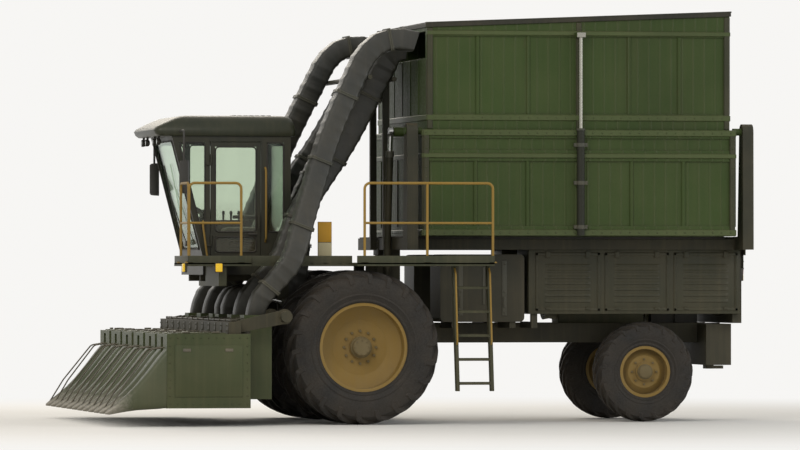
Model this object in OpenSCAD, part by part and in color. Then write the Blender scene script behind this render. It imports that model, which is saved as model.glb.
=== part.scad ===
// Six-row basket cotton harvester.
// +X is forward, +Y is the operator's left, +Z is up, and z = 0 is the ground.

/* [Rows] */
// Distance between two neighbouring crop rows
row_pitch = 965; // [940:5:990]
// Width of one picking unit
unit_w = 800; // [760:5:820]
// Width of the slot that the plants pass through
throat_w = 170; // [120:5:200]
// Height of a unit's underside above the ground
unit_z = 230; // [200:5:260]
// Height of a unit's top plate above the ground
unit_top = 1150; // [1120:5:1160]
// Foremost point of the stalk lifters
nose_tip_x = 4250; // [4150:10:4400]

/* [Wheels] */
// Radius of a drive tyre over its lugs
drive_tyre_r = 970; // [920:5:985]
// Width of a drive tyre
drive_tyre_w = 530; // [450:5:560]
// Radius of a drive wheel's rim
drive_rim_r = 560; // [520:5:600]
// Radius of a steered tyre over its lugs
steer_tyre_r = 640; // [600:5:660]
// Width of a steered tyre
steer_tyre_w = 380; // [330:5:400]
// Radius of a steered wheel's rim
steer_rim_r = 330; // [300:5:360]
// Place of the drive axle along the machine
drive_axle_x = 900; // [850:5:920]
// Distance between the drive axle and the steered axle
wheelbase = 3850; // [3750:10:3900]
// Distance of a kingpin from the middle of the machine
kingpin_y = 720; // [700:5:740]
// Distance of a steered wheel from the middle of the machine
steer_wheel_y = 1000; // [980:5:1030]

/* [Frame] */
// Half the distance between the two frame rails
rail_y = 350; // [330:5:370]
// Width of a frame rail
rail_w = 120; // [90:5:130]
// Height of the rails' underside
rail_z = 1010; // [990:5:1020]
// Depth of a frame rail
rail_h = 250; // [220:5:260]
// Rearmost point of the machine
rear_x = -4250; // [-4350:10:-4200]

/* [Picking unit lift] */
// Place of the lift pivot along the machine
pivot_x = 1980; // [1970:5:1995]
// Height of the lift pivot
pivot_z = 1360; // [1340:5:1370]
// Radius of the pivot tube
pivot_r = 70; // [60:1:75]

/* [Cab] */
// Half the width of the cab
cab_y = 860; // [820:5:880]
// Height of the cab's underside
cab_z = 1880; // [1870:5:1900]
// Height of the underside of the cab's roof
cab_top = 3640; // [3560:5:3700]
// Rear wall of the cab
cab_x0 = 1600; // [1590:5:1650]
// Foot of the windscreen
screen_x = 2730; // [2700:5:2760]
// How far the windscreen's top leans forward of its foot
screen_lean = 400; // [300:5:450]
// Thickness of the cab's walls
cab_wall = 50; // [40:1:60]

/* [Basket] */
// Front of the basket
basket_x1 = 50; // [30:5:60]
// Length of the basket
basket_l = 4050; // [3950:10:4060]
// Half the width of the basket over its walls
basket_y = 1700; // [1680:5:1720]
// Height of the basket's underside
basket_z = 2370; // [2360:5:2400]
// Height of the lower section's rim
rim_z = 3720; // [3700:5:3760]
// Height of the upper section's top at its front
top_front_z = 5010; // [4950:5:5060]
// Rise of the top from its front to its rear
top_rise = 160; // [100:5:200]
// Thickness of the basket's walls with their ribs
basket_wall = 40; // [36:1:44]
// Free space between the two sections
slide_gap = 20; // [12:1:24]
// Overlap of the two sections when the upper one is raised
slide_lap = 80; // [60:5:100]
// Height of the dump pivot
dump_z = 3700; // [3690:5:3710]
// Distance of the dump pivot from the middle of the machine
dump_y = 1560; // [1550:5:1570]
// Radius of a dump pivot pin
dump_pin_r = 45; // [35:1:50]

/* [Pipes] */
// Radius of a handrail pipe
rail_pipe_r = 17; // [14:1:20]
// Depth of an air duct where it leaves its unit
duct_d0 = 230; // [210:5:240]
// Depth of an inner air duct at its top
duct_d1 = 300; // [260:5:310]
// Depth of an outer air duct at its top
outer_d1 = 260; // [230:5:270]
// Width of an inner air duct at its top
inner_w = 300; // [260:5:310]

/* [Hidden] */
$fn = 48;
wheel_fn = 32;

steer_axle_x = drive_axle_x - wheelbase;
rail_top = rail_z + rail_h;
basket_x0 = basket_x1 - basket_l;

// Running clearance around a pin, and a seam between two pieces.
fit = 0.4;
seam = 6;

// Frame and cradle sections.
cradle_z0 = basket_z - 170;
cradle_z1 = basket_z - 16;
front_post_x = basket_x1 + 60;
rear_post_x = rear_x;
post_d = 140;
leg_y = 1040;
leg_w = 120;
cab_beam_h = 80;
panel_y = 1150;
panel_t = 30;
sill_y = panel_y + panel_t / 2;
tank_front_x = steer_axle_x - steer_tyre_r - 210;
tank_rear_x = tank_front_x - 330;
hub_gap = 0.5;
drive_stub_r = 70;
steer_stub_r = 45;
kingpin_r = 30;
lug_h = 40;
lug_w = 60;
lug_lean = 48;
tie_pin_r = 14;
steer_arm = 300;

// Tow hole behind the rear tank.
tank_z = 720;
tow_x = tank_rear_x - 60;
tow_z = 680;
tow_r = 17;

// Hinges of the radiator door and the cab door.
hinge_pin_r = 8;
core_x0 = -3860;
core_x1 = -3560;
core_y0 = -860;
core_y1 = 220;
core_top = 2120;
fan_door_x = core_x0 - 80;
fan_hinge_y = core_y0 - 45;
fan_hinge_z = [rail_top + 200, core_top - 170];

// Picking units.
unit_x0 = 2100;
box_x1 = 2450;
cabinet_x1 = 3500;
sheet = 30;
row_y = [for (i = [-2.5:1:2.5]) i * row_pitch];
box_w = (unit_w - throat_w) / 2 - 5;
box_mid = unit_w / 2 - box_w / 2;
box_top = 1380;
drum_r = 115;
drum_x = [2740, 3180];

// Cab.
floor_top = cab_z + 120;
roof_h = 260;
door_x0 = 1990;
door_x1 = 2630;
door_z0 = 2110;
door_z1 = 3560;
door_t = 40;
door_frame = 55;
side_x0 = 1690;
side_z0 = 2420;
hinge_x = door_x1 - 5;
hinge_y = cab_y + 18;
cab_hinge_z = [door_z0 + 150, door_z1 - 270];
deck_z = 2 * drive_tyre_r + 50;
deck_t = 40;
deck_y = 2230;
deck_x1 = 3100;
step_y = 1950;

// Cylinders.
lift_cyl_y = 540;
lift_base = [1130, 1380];
lift_eye = [1960, 1610];
lift_barrel_l = 560;
dump_base = [520, 1400];
dump_eye = [860, dump_z];
dump_barrel_l = 2080;
dump_front_x = front_post_x + post_d + 60;
dump_rear_x = basket_x0 - 55;
roof_t = 50;
roof_seam = 30;

module box(x0, x1, y0, y1, z0, z1) {
    translate([x0, y0, z0]) cube([x1 - x0, y1 - y0, z1 - z0]);
}

// A round bar between two points.
module bar(p, q, r) {
    d = q - p;
    l = norm(d);
    translate(p) rotate([0, acos(d[2] / l), atan2(d[1], d[0])]) cylinder(r = r, h = l);
}

// A cylinder along Y, centred on its middle.
module disc_y(x, y, z, r, w) {
    translate([x, y, z]) rotate([90, 0, 0]) cylinder(r = r, h = w, center = true);
}

// A cylinder along X, from x0 to x1.
module disc_x(x0, x1, y, z, r) {
    translate([x0, y, z]) rotate([0, 90, 0]) cylinder(r = r, h = x1 - x0);
}

// A bent pipe through a list of points.
module pipe(points, r) {
    for (i = [0:len(points) - 2]) bar(points[i], points[i + 1], r);
    for (i = [1:len(points) - 2]) translate(points[i]) sphere(r = r);
}

// A plate in the plane of X and Z, from y0 to y1.
module plate_xz(points, y0, y1) {
    translate([0, y1, 0]) rotate([90, 0, 0]) linear_extrude(y1 - y0) polygon(points);
}

module both_sides() {
    children();
    mirror([0, 1, 0]) children();
}

// Frame and axles

module main_frame() {
    y1 = rail_y + rail_w;
    color("#2a3320") union() {
        both_sides() {
            box(tank_rear_x + 30, 1700, rail_y, y1, rail_z, rail_top);
            // Bearing plate of the lift pivot
            difference() {
                union() {
                    box(1560, pivot_x, rail_y, rail_y + rail_w / 2, rail_z, pivot_z);
                    disc_y(pivot_x, rail_y + rail_w / 4, pivot_z, pivot_r + 45, rail_w / 2);
                }
                disc_y(pivot_x, rail_y, pivot_z, pivot_r + fit, 3 * rail_w);
            }
            // Foot plate and pin of a lift cylinder
            box(lift_base[0] - 60, lift_base[0] + 60, y1, y1 + 20, rail_top - 60, lift_base[1] + 50);
            disc_y(lift_base[0], (y1 + lift_cyl_y + 60) / 2, lift_base[1], 25, lift_cyl_y + 60 - y1);
            // Cab mounts
            box(1560, 1700, y1 - 60, y1, rail_top, cab_z);
            box(1700, 2700, y1 - 60, y1, cab_z - cab_beam_h, cab_z);
            // Outriggers under the side tanks
            for (x = [-1250, -500]) box(x, x + 80, y1, panel_y + 30, rail_top - 60, rail_top + 20);
            // Outriggers behind the drive wheels, up to the sills
            box(-1540, -1460, y1, panel_y, rail_top - 60, rail_top + 20);
            box(-1540, -1460, panel_y - 70, panel_y, rail_top + 19, cradle_z0);
        }
        for (x = [tank_rear_x + 30, steer_axle_x - 90, -1500, 100, 460, 1560])
            box(x, x + 120, -rail_y - 1, rail_y + 1, rail_z + 20, rail_top - 20);
        // Saddle of the steered axle
        box(steer_axle_x - 110, steer_axle_x + 110, -170, 170, steer_tyre_r + 220, rail_z + 30);
    }
}

// Both axles: the driven one under the frame, and the steered one under its saddle.
module axles() {
    z = steer_tyre_r;
    color("#2a3320") {
        union() {
            box(drive_axle_x - 170, drive_axle_x + 170, -640, 640, drive_tyre_r - 220, rail_z);
            box(drive_axle_x - 260, drive_axle_x + 260, -rail_y + 4, rail_y - 4,
                drive_tyre_r - 200, rail_top - 60);
            both_sides() {
                disc_y(drive_axle_x, 570, drive_tyre_r, 240, 140);
                disc_y(drive_axle_x, row_pitch + 350, drive_tyre_r, drive_stub_r, 2 * row_pitch - 490);
            }
            // Jack pad
            box(drive_axle_x - 90, drive_axle_x + 90, -90, 90, drive_tyre_r - 250, drive_tyre_r - 199);
        }
        difference() {
            union() {
                box(steer_axle_x - 80, steer_axle_x + 80, 160 - kingpin_y, kingpin_y - 160, z - 10, z + 190);
                both_sides() {
                    box(steer_axle_x - 40, steer_axle_x + 40, kingpin_y - 180, kingpin_y - 80,
                        z - 125, z + 210);
                    for (dz = [-125, 140]) {
                        translate([steer_axle_x, kingpin_y, z + dz]) cylinder(r = 80, h = 70);
                        box(steer_axle_x - 60, steer_axle_x + 60, kingpin_y - 170, kingpin_y,
                            z + dz, z + dz + 70);
                    }
                }
                // Rocking pin block under the saddle
                box(steer_axle_x - 100, steer_axle_x + 100, -120, 120, z + 100, z + 220);
            }
            both_sides() translate([steer_axle_x, kingpin_y, z - 200]) cylinder(r = kingpin_r + fit, h = 500);
        }
    }
}

// The steering knuckle with its kingpin, stub shaft, steering arm and the pin of the tie rod.
module knuckle_shape() {
    z = steer_tyre_r;
    y1 = steer_wheel_y + 90;
    color("#2a3320") union() {
        translate([steer_axle_x, kingpin_y, z - 150]) cylinder(r = kingpin_r, h = 400);
        translate([steer_axle_x, kingpin_y, z - 49]) cylinder(r = 58, h = 183);
        disc_y(steer_axle_x, (kingpin_y + y1) / 2 + 20, z, steer_stub_r, y1 - kingpin_y - 40);
        disc_y(steer_axle_x, kingpin_y + 110, z, 70, 40);
        box(steer_axle_x - steer_arm - 32, steer_axle_x - 40, kingpin_y - 35, kingpin_y + 35, z + 44, z + 84);
        translate([steer_axle_x - steer_arm, kingpin_y, z - 20]) cylinder(r = tie_pin_r, h = 70);
    }
}

module tie_rod() {
    x = steer_axle_x - steer_arm;
    z = steer_tyre_r + 15;
    color("#3a3a36") difference() {
        union() {
            bar([x, -kingpin_y + 20, z], [x, kingpin_y - 20, z], 18);
            both_sides() translate([x, kingpin_y, z - 22]) cylinder(r = 34, h = 44);
        }
        both_sides() translate([x, kingpin_y, z - 50]) cylinder(r = tie_pin_r + fit, h = 100);
    }
}

// Wheels

// Tyre turned about Y: r is its radius over the lugs, rim is where it seats, w is its width.
module tyre(x, y, r, rim, w, pairs) {
    base = r - lug_h;
    bar_l = w * 0.60;
    translate([x, y, r]) rotate([90, 0, 0]) {
        rotate_extrude($fn = wheel_fn) polygon([
            [rim, -w * 0.40], [(base + rim) / 2, -w * 0.5], [base, -w * 0.40],
            [base, w * 0.40], [(base + rim) / 2, w * 0.5], [rim, w * 0.40]
        ]);
        // Lugs in two rows that lean to each other across the tread
        intersection() {
            for (i = [0:pairs - 1], s = [-1, 1])
                rotate([0, 0, -90 + (i + (s > 0 ? 0 : 0.5)) * 360 / pairs])
                    translate([base - 20, 0, s * w * 0.19]) rotate([s * lug_lean, 0, 0])
                        translate([0, -lug_w / 2, -bar_l / 2]) cube([lug_h + 60, lug_w, bar_l]);
            cylinder(r = r, h = w * 0.78, center = true, $fn = wheel_fn);
        }
    }
}

// Dished rim turned about Y, with its disc and a hub bored for the axle.
module rim(x, y, r, outer, w, bore, dish) {
    translate([x, y, r]) rotate([90, 0, 0]) rotate_extrude($fn = wheel_fn)
        polygon([
            [bore, dish - 60], [bore + 70, dish - 60], [bore + 70, dish - 12], [outer * 0.62, dish - 12],
            [outer - 40, -20], [outer - 40, -w * 0.40], [outer - 0.5, -w * 0.40], [outer - 0.5, w * 0.40],
            [outer - 40, w * 0.40], [outer - 40, 12], [outer * 0.62, dish + 12], [bore + 70, dish + 12],
            [bore + 70, dish + 60], [bore, dish + 60]
        ]);
}

module drive_tyres() {
    color("#26231f") for (n = [1, 2])
        tyre(drive_axle_x, n * row_pitch, drive_tyre_r, drive_rim_r, drive_tyre_w, 10);
}

module drive_rims() {
    color("#c9a227") union() {
        for (n = [1, 2])
            rim(drive_axle_x, n * row_pitch, drive_tyre_r, drive_rim_r, drive_tyre_w,
                drive_stub_r + hub_gap, 60);
        // Spacer drum between the two wheels
        translate([drive_axle_x, row_pitch - 90, drive_tyre_r]) rotate([-90, 0, 0])
            rotate_extrude() translate([180, 0]) square([25, row_pitch]);
    }
}

module steered_tyre() {
    color("#26231f")
        tyre(steer_axle_x, steer_wheel_y, steer_tyre_r, steer_rim_r, steer_tyre_w, 8);
}

module steered_rim() {
    color("#c9a227") rim(steer_axle_x, steer_wheel_y, steer_tyre_r, steer_rim_r, steer_tyre_w,
        steer_stub_r + hub_gap, -70);
}

// Power unit, tanks and panels

module engine() {
    color("#30402a") box(-3250, -2000, 5 - rail_y, rail_y - 5, rail_top - 20, 2080);
}

module radiator() {
    post_y = core_y0 - 125;
    color("#222420") union() {
        box(core_x0, core_x1, core_y0, core_y1, rail_top, core_top);
        // Hinge post of the radiator door, with its lugs and pins
        box(core_x0 - 1, core_x0 + 30, post_y, core_y0 + 1, rail_top, core_top);
        box(fan_door_x - 20, core_x0, post_y, post_y + 50, rail_top, core_top);
        for (z = fan_hinge_z) {
            box(fan_door_x - 12, fan_door_x + 12, -936, fan_hinge_y + 12, z - 22, z - 1);
            translate([fan_door_x, fan_hinge_y, z - 22]) cylinder(r = hinge_pin_r, h = 142);
        }
        box(core_x1, -3250, -300, 200, rail_top, core_top - 220);
    }
}

module engine_panels() {
    z0 = rail_top + 120;
    door_x = rear_x + 210;
    door_pitch = 905;
    color("#26361f") both_sides() {
        box(rear_x + 60, -1420, panel_y, panel_y + panel_t, z0, cradle_z0);
        box(rear_x + 60, rear_x + 60 + panel_t, leg_y + leg_w / 2, panel_y + 1, z0, cradle_z0);
        box(-1450, -1420, rail_y + rail_w, panel_y + 1, z0, cradle_z0);
        // Raised louvres of three doors
        for (n = [0:2], i = [0:6])
            box(door_x + n * door_pitch, door_x + n * door_pitch + 600, panel_y + panel_t - 1,
                panel_y + panel_t + 14, z0 + 150 + i * 75, z0 + 185 + i * 75);
    }
}

module tanks() {
    color("#20261c") {
        union() {
            box(tank_rear_x, tank_front_x, -950, 950, tank_z, rail_z);
            both_sides() box(tank_rear_x, tank_front_x, rail_y + rail_w, 950, rail_z - 1, rail_top - 10);
        }
        both_sides() hull() for (x = [-1300, -330], z = [rail_top + 80, 2080])
            translate([x, 540, z]) rotate([-90, 0, 0]) cylinder(r = 60, h = 660, $fn = 24);
    }
}

module blower() {
    color("#2f3d27") union() {
        disc_y(520, 0, 1600, 300, 420);
        box(520, 1000, -150, 150, 1700, 1850);
        box(400, 640, -200, 200, rail_top - 20, 1500);
    }
}

// Frame that carries the basket, with the posts of its dump pivot.
module cradle() {
    x1 = front_post_x + post_d;
    x0 = rear_post_x + post_d;
    lug_y = dump_base[0];
    color("#1f281a") difference() {
        union() {
            // Front and rear cross beams
            box(front_post_x, x1, -basket_y, dump_y + 110, cradle_z0, cradle_z1);
            box(rear_post_x, x0, -basket_y, dump_y + 110, cradle_z0, cradle_z1);
            // Sills along the basket
            both_sides() box(x0 - 1, front_post_x + 1, sill_y - 50, sill_y + 50, cradle_z0, cradle_z1 - 20);
            // Legs on the frame
            both_sides() {
                box(front_post_x, x1, rail_y, rail_y + rail_w, rail_top, cradle_z0 + 1);
                box(rear_post_x + 20, x0, leg_y - leg_w / 2, leg_y + leg_w / 2, rail_top, cradle_z0 + 1);
            }
            box(rear_post_x + 20, x0, -leg_y, leg_y, rail_top, rail_top + 120);
            // Lugs and pins of the dump cylinders' feet
            box(front_post_x, x1, rail_y + rail_w - 1, lug_y + 60, rail_top, dump_base[1] + 60);
            disc_x(x1 - 1, dump_front_x + 35, lug_y, dump_base[1], 30);
            box(rear_post_x + 20, x0, lug_y - 60, lug_y + 60, rail_top + 119, dump_base[1] + 60);
            disc_x(x0 - 1, dump_rear_x + 35, lug_y, dump_base[1], 30);
            // Pivot posts on the left
            for (x = [front_post_x, rear_post_x])
                hull() {
                    box(x, x + post_d, dump_y - 190, dump_y + 110, cradle_z1 - 1, cradle_z1);
                    disc_x(x, x + post_d, dump_y, dump_z, 100);
                }
        }
        disc_x(rear_x - 10, x1 + 10, dump_y, dump_z, dump_pin_r + fit);
    }
}

// Access

module walkway() {
    x0 = dump_front_x + 70;
    color("#2c3a25") union() {
        box(x0, 1000, -1600, deck_y, deck_z, deck_z + deck_t);
        box(999, deck_x1, 1430, 1900, deck_z, deck_z + deck_t);
        box(2290, deck_x1, cab_y + 10, step_y, deck_z, deck_z + deck_t);
        box(-760, x0 + 1, 1760, deck_y, deck_z, deck_z + deck_t);
        // Bearers
        both_sides() box(420, 540, rail_y, rail_y + rail_w, rail_top, deck_z + 1);
        box(2600, 2700, 350, 1900, cab_z - cab_beam_h - 60, cab_z - cab_beam_h);
        box(2600, 2700, cab_y + 10, 1900, cab_z - cab_beam_h - 1, deck_z + 1);
    }
}

module handrails() {
    z0 = deck_z + deck_t;
    z1 = z0 + 1000;
    mid = z0 + 500;
    edge = deck_y - 20;
    side = step_y - 20;
    front = deck_x1 - 20;
    color("#c8a020") union() {
        pipe([[-740, edge, z0], [-740, edge, z1], [900, edge, z1], [900, edge, z0]], rail_pipe_r);
        bar([-740, edge, mid], [900, edge, mid], rail_pipe_r);
        bar([100, edge, z0], [100, edge, z1], rail_pipe_r);
        pipe([[2420, side, z0], [2420, side, z1], [front, side, z1], [front, side, z0]], rail_pipe_r);
        bar([2420, side, mid], [front, side, mid], rail_pipe_r);
        pipe([[front, side - 50, z0], [front, side - 50, z1], [front, cab_y + 420, z1],
            [front, cab_y + 420, z0]], rail_pipe_r);
        bar([front, side - 50, mid], [front, cab_y + 420, mid], rail_pipe_r);
    }
}

module ladder() {
    top = deck_z;
    foot = 420;
    y_top = 2000;
    y_foot = 2240;
    color("#2c3a25") union() {
        for (x = [-740, -300])
            hull() {
                box(x, x + 40, y_top - 60, y_top + 60, top - 1, top);
                box(x, x + 40, y_foot - 50, y_foot + 50, foot, foot + 40);
            }
        for (i = [0:4]) {
            z = foot + 80 + i * 300;
            y = y_foot + (y_top - y_foot) * (z - foot) / (top - foot);
            box(-701, -299, y - 60, y + 60, z, z + 30);
        }
    }
}

// Cab

function screen_at(z) = screen_x + screen_lean * max(0, z - floor_top - 100) / (cab_top - floor_top - 100);

module cab_side(inset) {
    polygon([
        [cab_x0 + inset, cab_z + (inset > 0 ? 120 : 0)],
        [screen_x - inset, cab_z + (inset > 0 ? 120 : 0)],
        [screen_x - inset, floor_top + 100],
        [screen_x + screen_lean - inset, cab_top - (inset > 0 ? 40 : 0)],
        [cab_x0 + inset, cab_top - (inset > 0 ? 40 : 0)]
    ]);
}

module cab_frame() {
    color("#1d211b") difference() {
        union() {
            translate([0, cab_y, 0]) rotate([90, 0, 0]) linear_extrude(2 * cab_y) cab_side(0);
            // Lugs and pins of the door's hinges
            for (z = cab_hinge_z) {
                translate([hinge_x, hinge_y, z - 22]) cylinder(r = 10, h = 21);
                translate([hinge_x, hinge_y, z - 22]) cylinder(r = hinge_pin_r, h = 142);
                box(hinge_x, hinge_x + 60, hinge_y - 10, hinge_y + 10, z - 22, z - 1);
                box(hinge_x + 30, hinge_x + 60, cab_y - 1, hinge_y + 10, z - 22, z - 1);
            }
        }
        translate([0, cab_y - cab_wall, 0]) rotate([90, 0, 0])
            linear_extrude(2 * (cab_y - cab_wall)) cab_side(cab_wall);
        // Door opening on the left
        box(door_x0 - 8, door_x1 + 8, cab_y - cab_wall - 1, cab_y + 1, door_z0 - 8, door_z1 + 8);
        // Side window on the right, and the rear side window on the left
        box(side_x0, door_x1, -cab_y - 1, -cab_y + cab_wall + 1, side_z0, door_z1);
        box(side_x0, door_x0 - 80, cab_y - cab_wall - 1, cab_y + 1, side_z0, door_z1);
        // Corner panes between door and windscreen
        both_sides() translate([0, cab_y + 1, 0]) rotate([90, 0, 0]) linear_extrude(cab_wall + 2)
            polygon([[door_x1 + 70, side_z0], [screen_at(side_z0) - 60, side_z0],
                [screen_at(door_z1) - 70, door_z1], [door_x1 + 70, door_z1]]);
        // Rear window
        box(cab_x0 - 1, cab_x0 + cab_wall + 1, 160 - cab_y, cab_y - 160, side_z0, door_z1);
        // Windscreen
        translate([0, cab_y - 90, 0]) rotate([90, 0, 0]) linear_extrude(2 * (cab_y - 90))
            polygon([[screen_at(2200) - 90, 2200], [screen_at(2200) + 90, 2200],
                [screen_at(3580) + 90, 3580], [screen_at(3580) - 90, 3580]]);
    }
}

module cab_glass() {
    t = 12;
    s = 0.3;
    color("#3d4a45") {
        translate([0, cab_y - 90 - s, 0]) rotate([90, 0, 0]) linear_extrude(2 * (cab_y - 90 - s))
            polygon([[screen_at(2200 + s) - 20 - t, 2200 + s], [screen_at(2200 + s) - 20, 2200 + s],
                [screen_at(3580 - s) - 20, 3580 - s], [screen_at(3580 - s) - 20 - t, 3580 - s]]);
        both_sides() translate([0, cab_y - 15, 0]) rotate([90, 0, 0]) linear_extrude(t)
            polygon([[door_x1 + 70 + s, side_z0 + s], [screen_at(side_z0) - 60 - s, side_z0 + s],
                [screen_at(door_z1) - 70 - s, door_z1 - s], [door_x1 + 70 + s, door_z1 - s]]);
        box(side_x0 + s, door_x1 - s, -cab_y + 15, -cab_y + 15 + t, side_z0 + s, door_z1 - s);
        box(side_x0 + s, door_x0 - 80 - s, cab_y - 15 - t, cab_y - 15, side_z0 + s, door_z1 - s);
        box(cab_x0 + 15, cab_x0 + 15 + t, 160 - cab_y + s, cab_y - 160 - s, side_z0 + s, door_z1 - s);
    }
}

module cab_roof() {
    x0 = cab_x0 - 70;
    x1 = screen_x + screen_lean + 230;
    color("#24331d") translate([0, cab_y + 40, 0]) rotate([90, 0, 0])
        linear_extrude(2 * (cab_y + 40))
            polygon([[x0, cab_top], [x1 - 60, cab_top], [x1, cab_top + 60], [x1 - 20, cab_top + 100],
                [x1 - 330, cab_top + roof_h], [x0 + 60, cab_top + roof_h], [x0, cab_top + roof_h - 60]]);
}

module cab_door() {
    w = door_frame;
    y1 = cab_y + 4;
    color("#1d211b") union() {
        difference() {
            box(door_x0, door_x1, y1 - door_t, y1, door_z0, door_z1);
            box(door_x0 + w, door_x1 - w, y1 - door_t - 1, y1 + 1, side_z0, door_z1 - w);
            box(door_x0 + w, door_x1 - w, y1 - door_t - 1, y1 + 1, door_z0 + w, side_z0 - w);
        }
        // Hinge barrels and handle
        for (z = cab_hinge_z) difference() {
            translate([hinge_x, hinge_y, z]) cylinder(r = 17, h = 120);
            translate([hinge_x, hinge_y, z - 1]) cylinder(r = hinge_pin_r + fit, h = 122);
        }
        box(door_x0 + 15, door_x0 + 40, y1 - 1, y1 + 45, door_z0 + 350, door_z0 + 520);
    }
}

module cab_door_glass() {
    w = door_frame + 0.3;
    y1 = cab_y - 10;
    color("#3d4a45") {
        box(door_x0 + w, door_x1 - w, y1 - 12, y1, side_z0 + 0.3, door_z1 - w);
        box(door_x0 + w, door_x1 - w, y1 - 12, y1, door_z0 + w, side_z0 - w);
    }
}

module seat() {
    color("#5a5a55") union() {
        box(1850, 2350, -260, 260, floor_top + 380, floor_top + 500);
        box(1780, 1900, -250, 250, floor_top + 490, floor_top + 1150);
        translate([2100, 0, floor_top]) cylinder(r = 130, h = 381);
    }
}

module console() {
    color("#2c2c2a") union() {
        box(2560, 2640, -70, 70, floor_top, floor_top + 620);
        translate([2560, 0, floor_top + 640]) rotate([0, -35, 0])
            rotate_extrude() translate([190, 0]) circle(r = 16);
        translate([2575, 0, floor_top + 600]) rotate([0, -35, 0]) cylinder(r = 35, h = 70);
        translate([2560, 0, floor_top + 640]) rotate([0, -35, 0]) for (a = [0, 120, 240])
            rotate([0, 0, a]) translate([0, -12, -8]) cube([190, 24, 14]);
        box(1900, 2500, -520, -380, floor_top, floor_top + 560);
    }
}

// Air ducts

// One ring of a duct: a rectangle of depth d and width w with cut corners, square to the path.
function ring(p, lean, d, w) = let(c = 0.18 * d, a = d / 2, b = w / 2)
    [for (q = [[a, b - c], [a - c, b], [-a + c, b], [-a, b - c],
        [-a, -b + c], [-a + c, -b], [a - c, -b], [a, -b + c]])
        [p[0] + q[0] * cos(lean), p[1] + q[1], p[2] + q[0] * sin(lean)]];

// A closed tube over stations of [x, y, z, lean, depth, width].
module duct(stations) {
    n = len(stations);
    points = [for (s = stations) each ring([s[0], s[1], s[2]], s[3], s[4], s[5])];
    sides = [for (i = [0:n - 2], k = [0:7])
        [(i + 1) * 8 + k, (i + 1) * 8 + (k + 1) % 8, i * 8 + (k + 1) % 8, i * 8 + k]];
    low = [for (k = [0:7]) k];
    high = [for (k = [7:-1:0]) (n - 1) * 8 + k];
    polyhedron(points = points, faces = concat([low], sides, [high]), convexity = 6);
}

function mix(a, b, t) = a + (b - a) * t;

duct_foot_x = 2275;
duct_top = [850, 4450];
duct_back = 412;
hood_x = basket_x1 + 60;
duct_top_lean = 26;
mast_tube_r = 30;
mast_step = [cos(duct_top_lean), sin(duct_top_lean)];
front_tube = duct_top - (outer_d1 / 2 + mast_tube_r + 0.3) * mast_step;
rear_tube = duct_top - [duct_back, 0] - (duct_d1 / 2 + mast_tube_r + 0.3) * mast_step;
duct_top_y = [220, 780, 1400];

function duct_foot_y(k) = (k + 0.5) * row_pitch - box_mid;

module air_ducts() {
    color("#1c1f1b") both_sides() for (k = [0:2]) {
        y0 = duct_foot_y(k);
        y1 = duct_top_y[k];
        // Columns: x, share of the way inwards, z, lean in degrees, depth, width
        inner_head = [[duct_top[0] - duct_back, 1, duct_top[1], duct_top_lean, duct_d1, inner_w],
            [372, 1, 4560, 38, duct_d1, inner_w], [290, 1, 4660, 62, 280, inner_w],
            [205, 1, 4720, 88, 260, inner_w], [hood_x, 1, 4730, 98, 240, inner_w]];
        // The duct of the middle rows goes under the cab's rear, the others rise beside it
        path = k == 0
            ? concat([[duct_foot_x, 0, 1300, 0, duct_d0, 200], [duct_foot_x, 0, 1430, 0, duct_d0, 220],
                [2225, 0, 1570, 40, duct_d0, 240], [2080, 0, 1640, 82, duct_d0, 250],
                [1620, 0.1, 1665, 80, duct_d0, 250], [1440, 0.1, 1780, 40, 240, 250],
                [1400, 0.15, 2000, 5, 250, 260], [1320, 0.4, 2700, 12, 280, 280],
                [870, 0.8, 3600, duct_top_lean, duct_d1, inner_w]], inner_head)
            : k == 1
            ? concat([[duct_foot_x, 0, 1300, 0, duct_d0, 200], [duct_foot_x, 0, 1430, 0, duct_d0, 240],
                [2190, 0, 1620, 32, 240, 260], [1960, 0, 1880, 41, 250, 280],
                [1780, 0.04, 2110, 28, 260, 290], [1500, 0.35, 2700, 26, 280, inner_w],
                [900, 0.8, 3600, 28, duct_d1, inner_w]], inner_head)
            : [[duct_foot_x, 0, 1300, 0, duct_d0, 200], [duct_foot_x, 0, 1430, 0, duct_d0, 240],
                [2190, 0, 1620, 32, 240, 260], [1960, 0, 1880, 41, 250, 280],
                [1800, 0.04, 2110, 28, 260, 300], [1590, 0.35, 2700, 20, 260, 330],
                [1230, 0.8, 3650, 23, outer_d1, 340],
                [duct_top[0], 1, duct_top[1], duct_top_lean, outer_d1, 340],
                [730, 1, 4660, 38, outer_d1, 340], [560, 1, 4810, 64, outer_d1, 340],
                [340, 1, 4860, 90, 260, 340], [hood_x, 1, 4830, 108, 260, 340]];
        duct([for (s = path) [s[0], mix(y0, y1, s[1]), s[2], s[3], s[4], s[5]]]);
    }
}

// Two posts on the cradle with the rear tube of the inner ducts, and arms to the outer ducts' front tube.
module duct_mast() {
    x0 = front_post_x + post_d;
    y = 440;
    rear_reach = duct_top_y[1] + inner_w / 2 + 10;
    color("#1f281a") union() {
        both_sides() {
            box(x0, x0 + 80, y - 40, y + 40, cradle_z0, rear_tube[1]);
            bar([x0 + 40, y, 4240], [front_tube[0], y, front_tube[1]], 25);
        }
        bar([front_tube[0], -1560, front_tube[1]], [front_tube[0], 1560, front_tube[1]], mast_tube_r);
        bar([rear_tube[0], -rear_reach, rear_tube[1]], [rear_tube[0], rear_reach, rear_tube[1]], mast_tube_r);
        box(x0, x0 + 80, -y, y, 4100, 4180);
    }
}

module mirrors() {
    color("#20221f") both_sides() {
        box(2970, 3090, 1190, 1240, 2900, 3331);
        pipe([[3030, cab_y + 40, 3700], [3030, 1215, 3700], [3030, 1215, 3330]], 14);
    }
}

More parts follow.
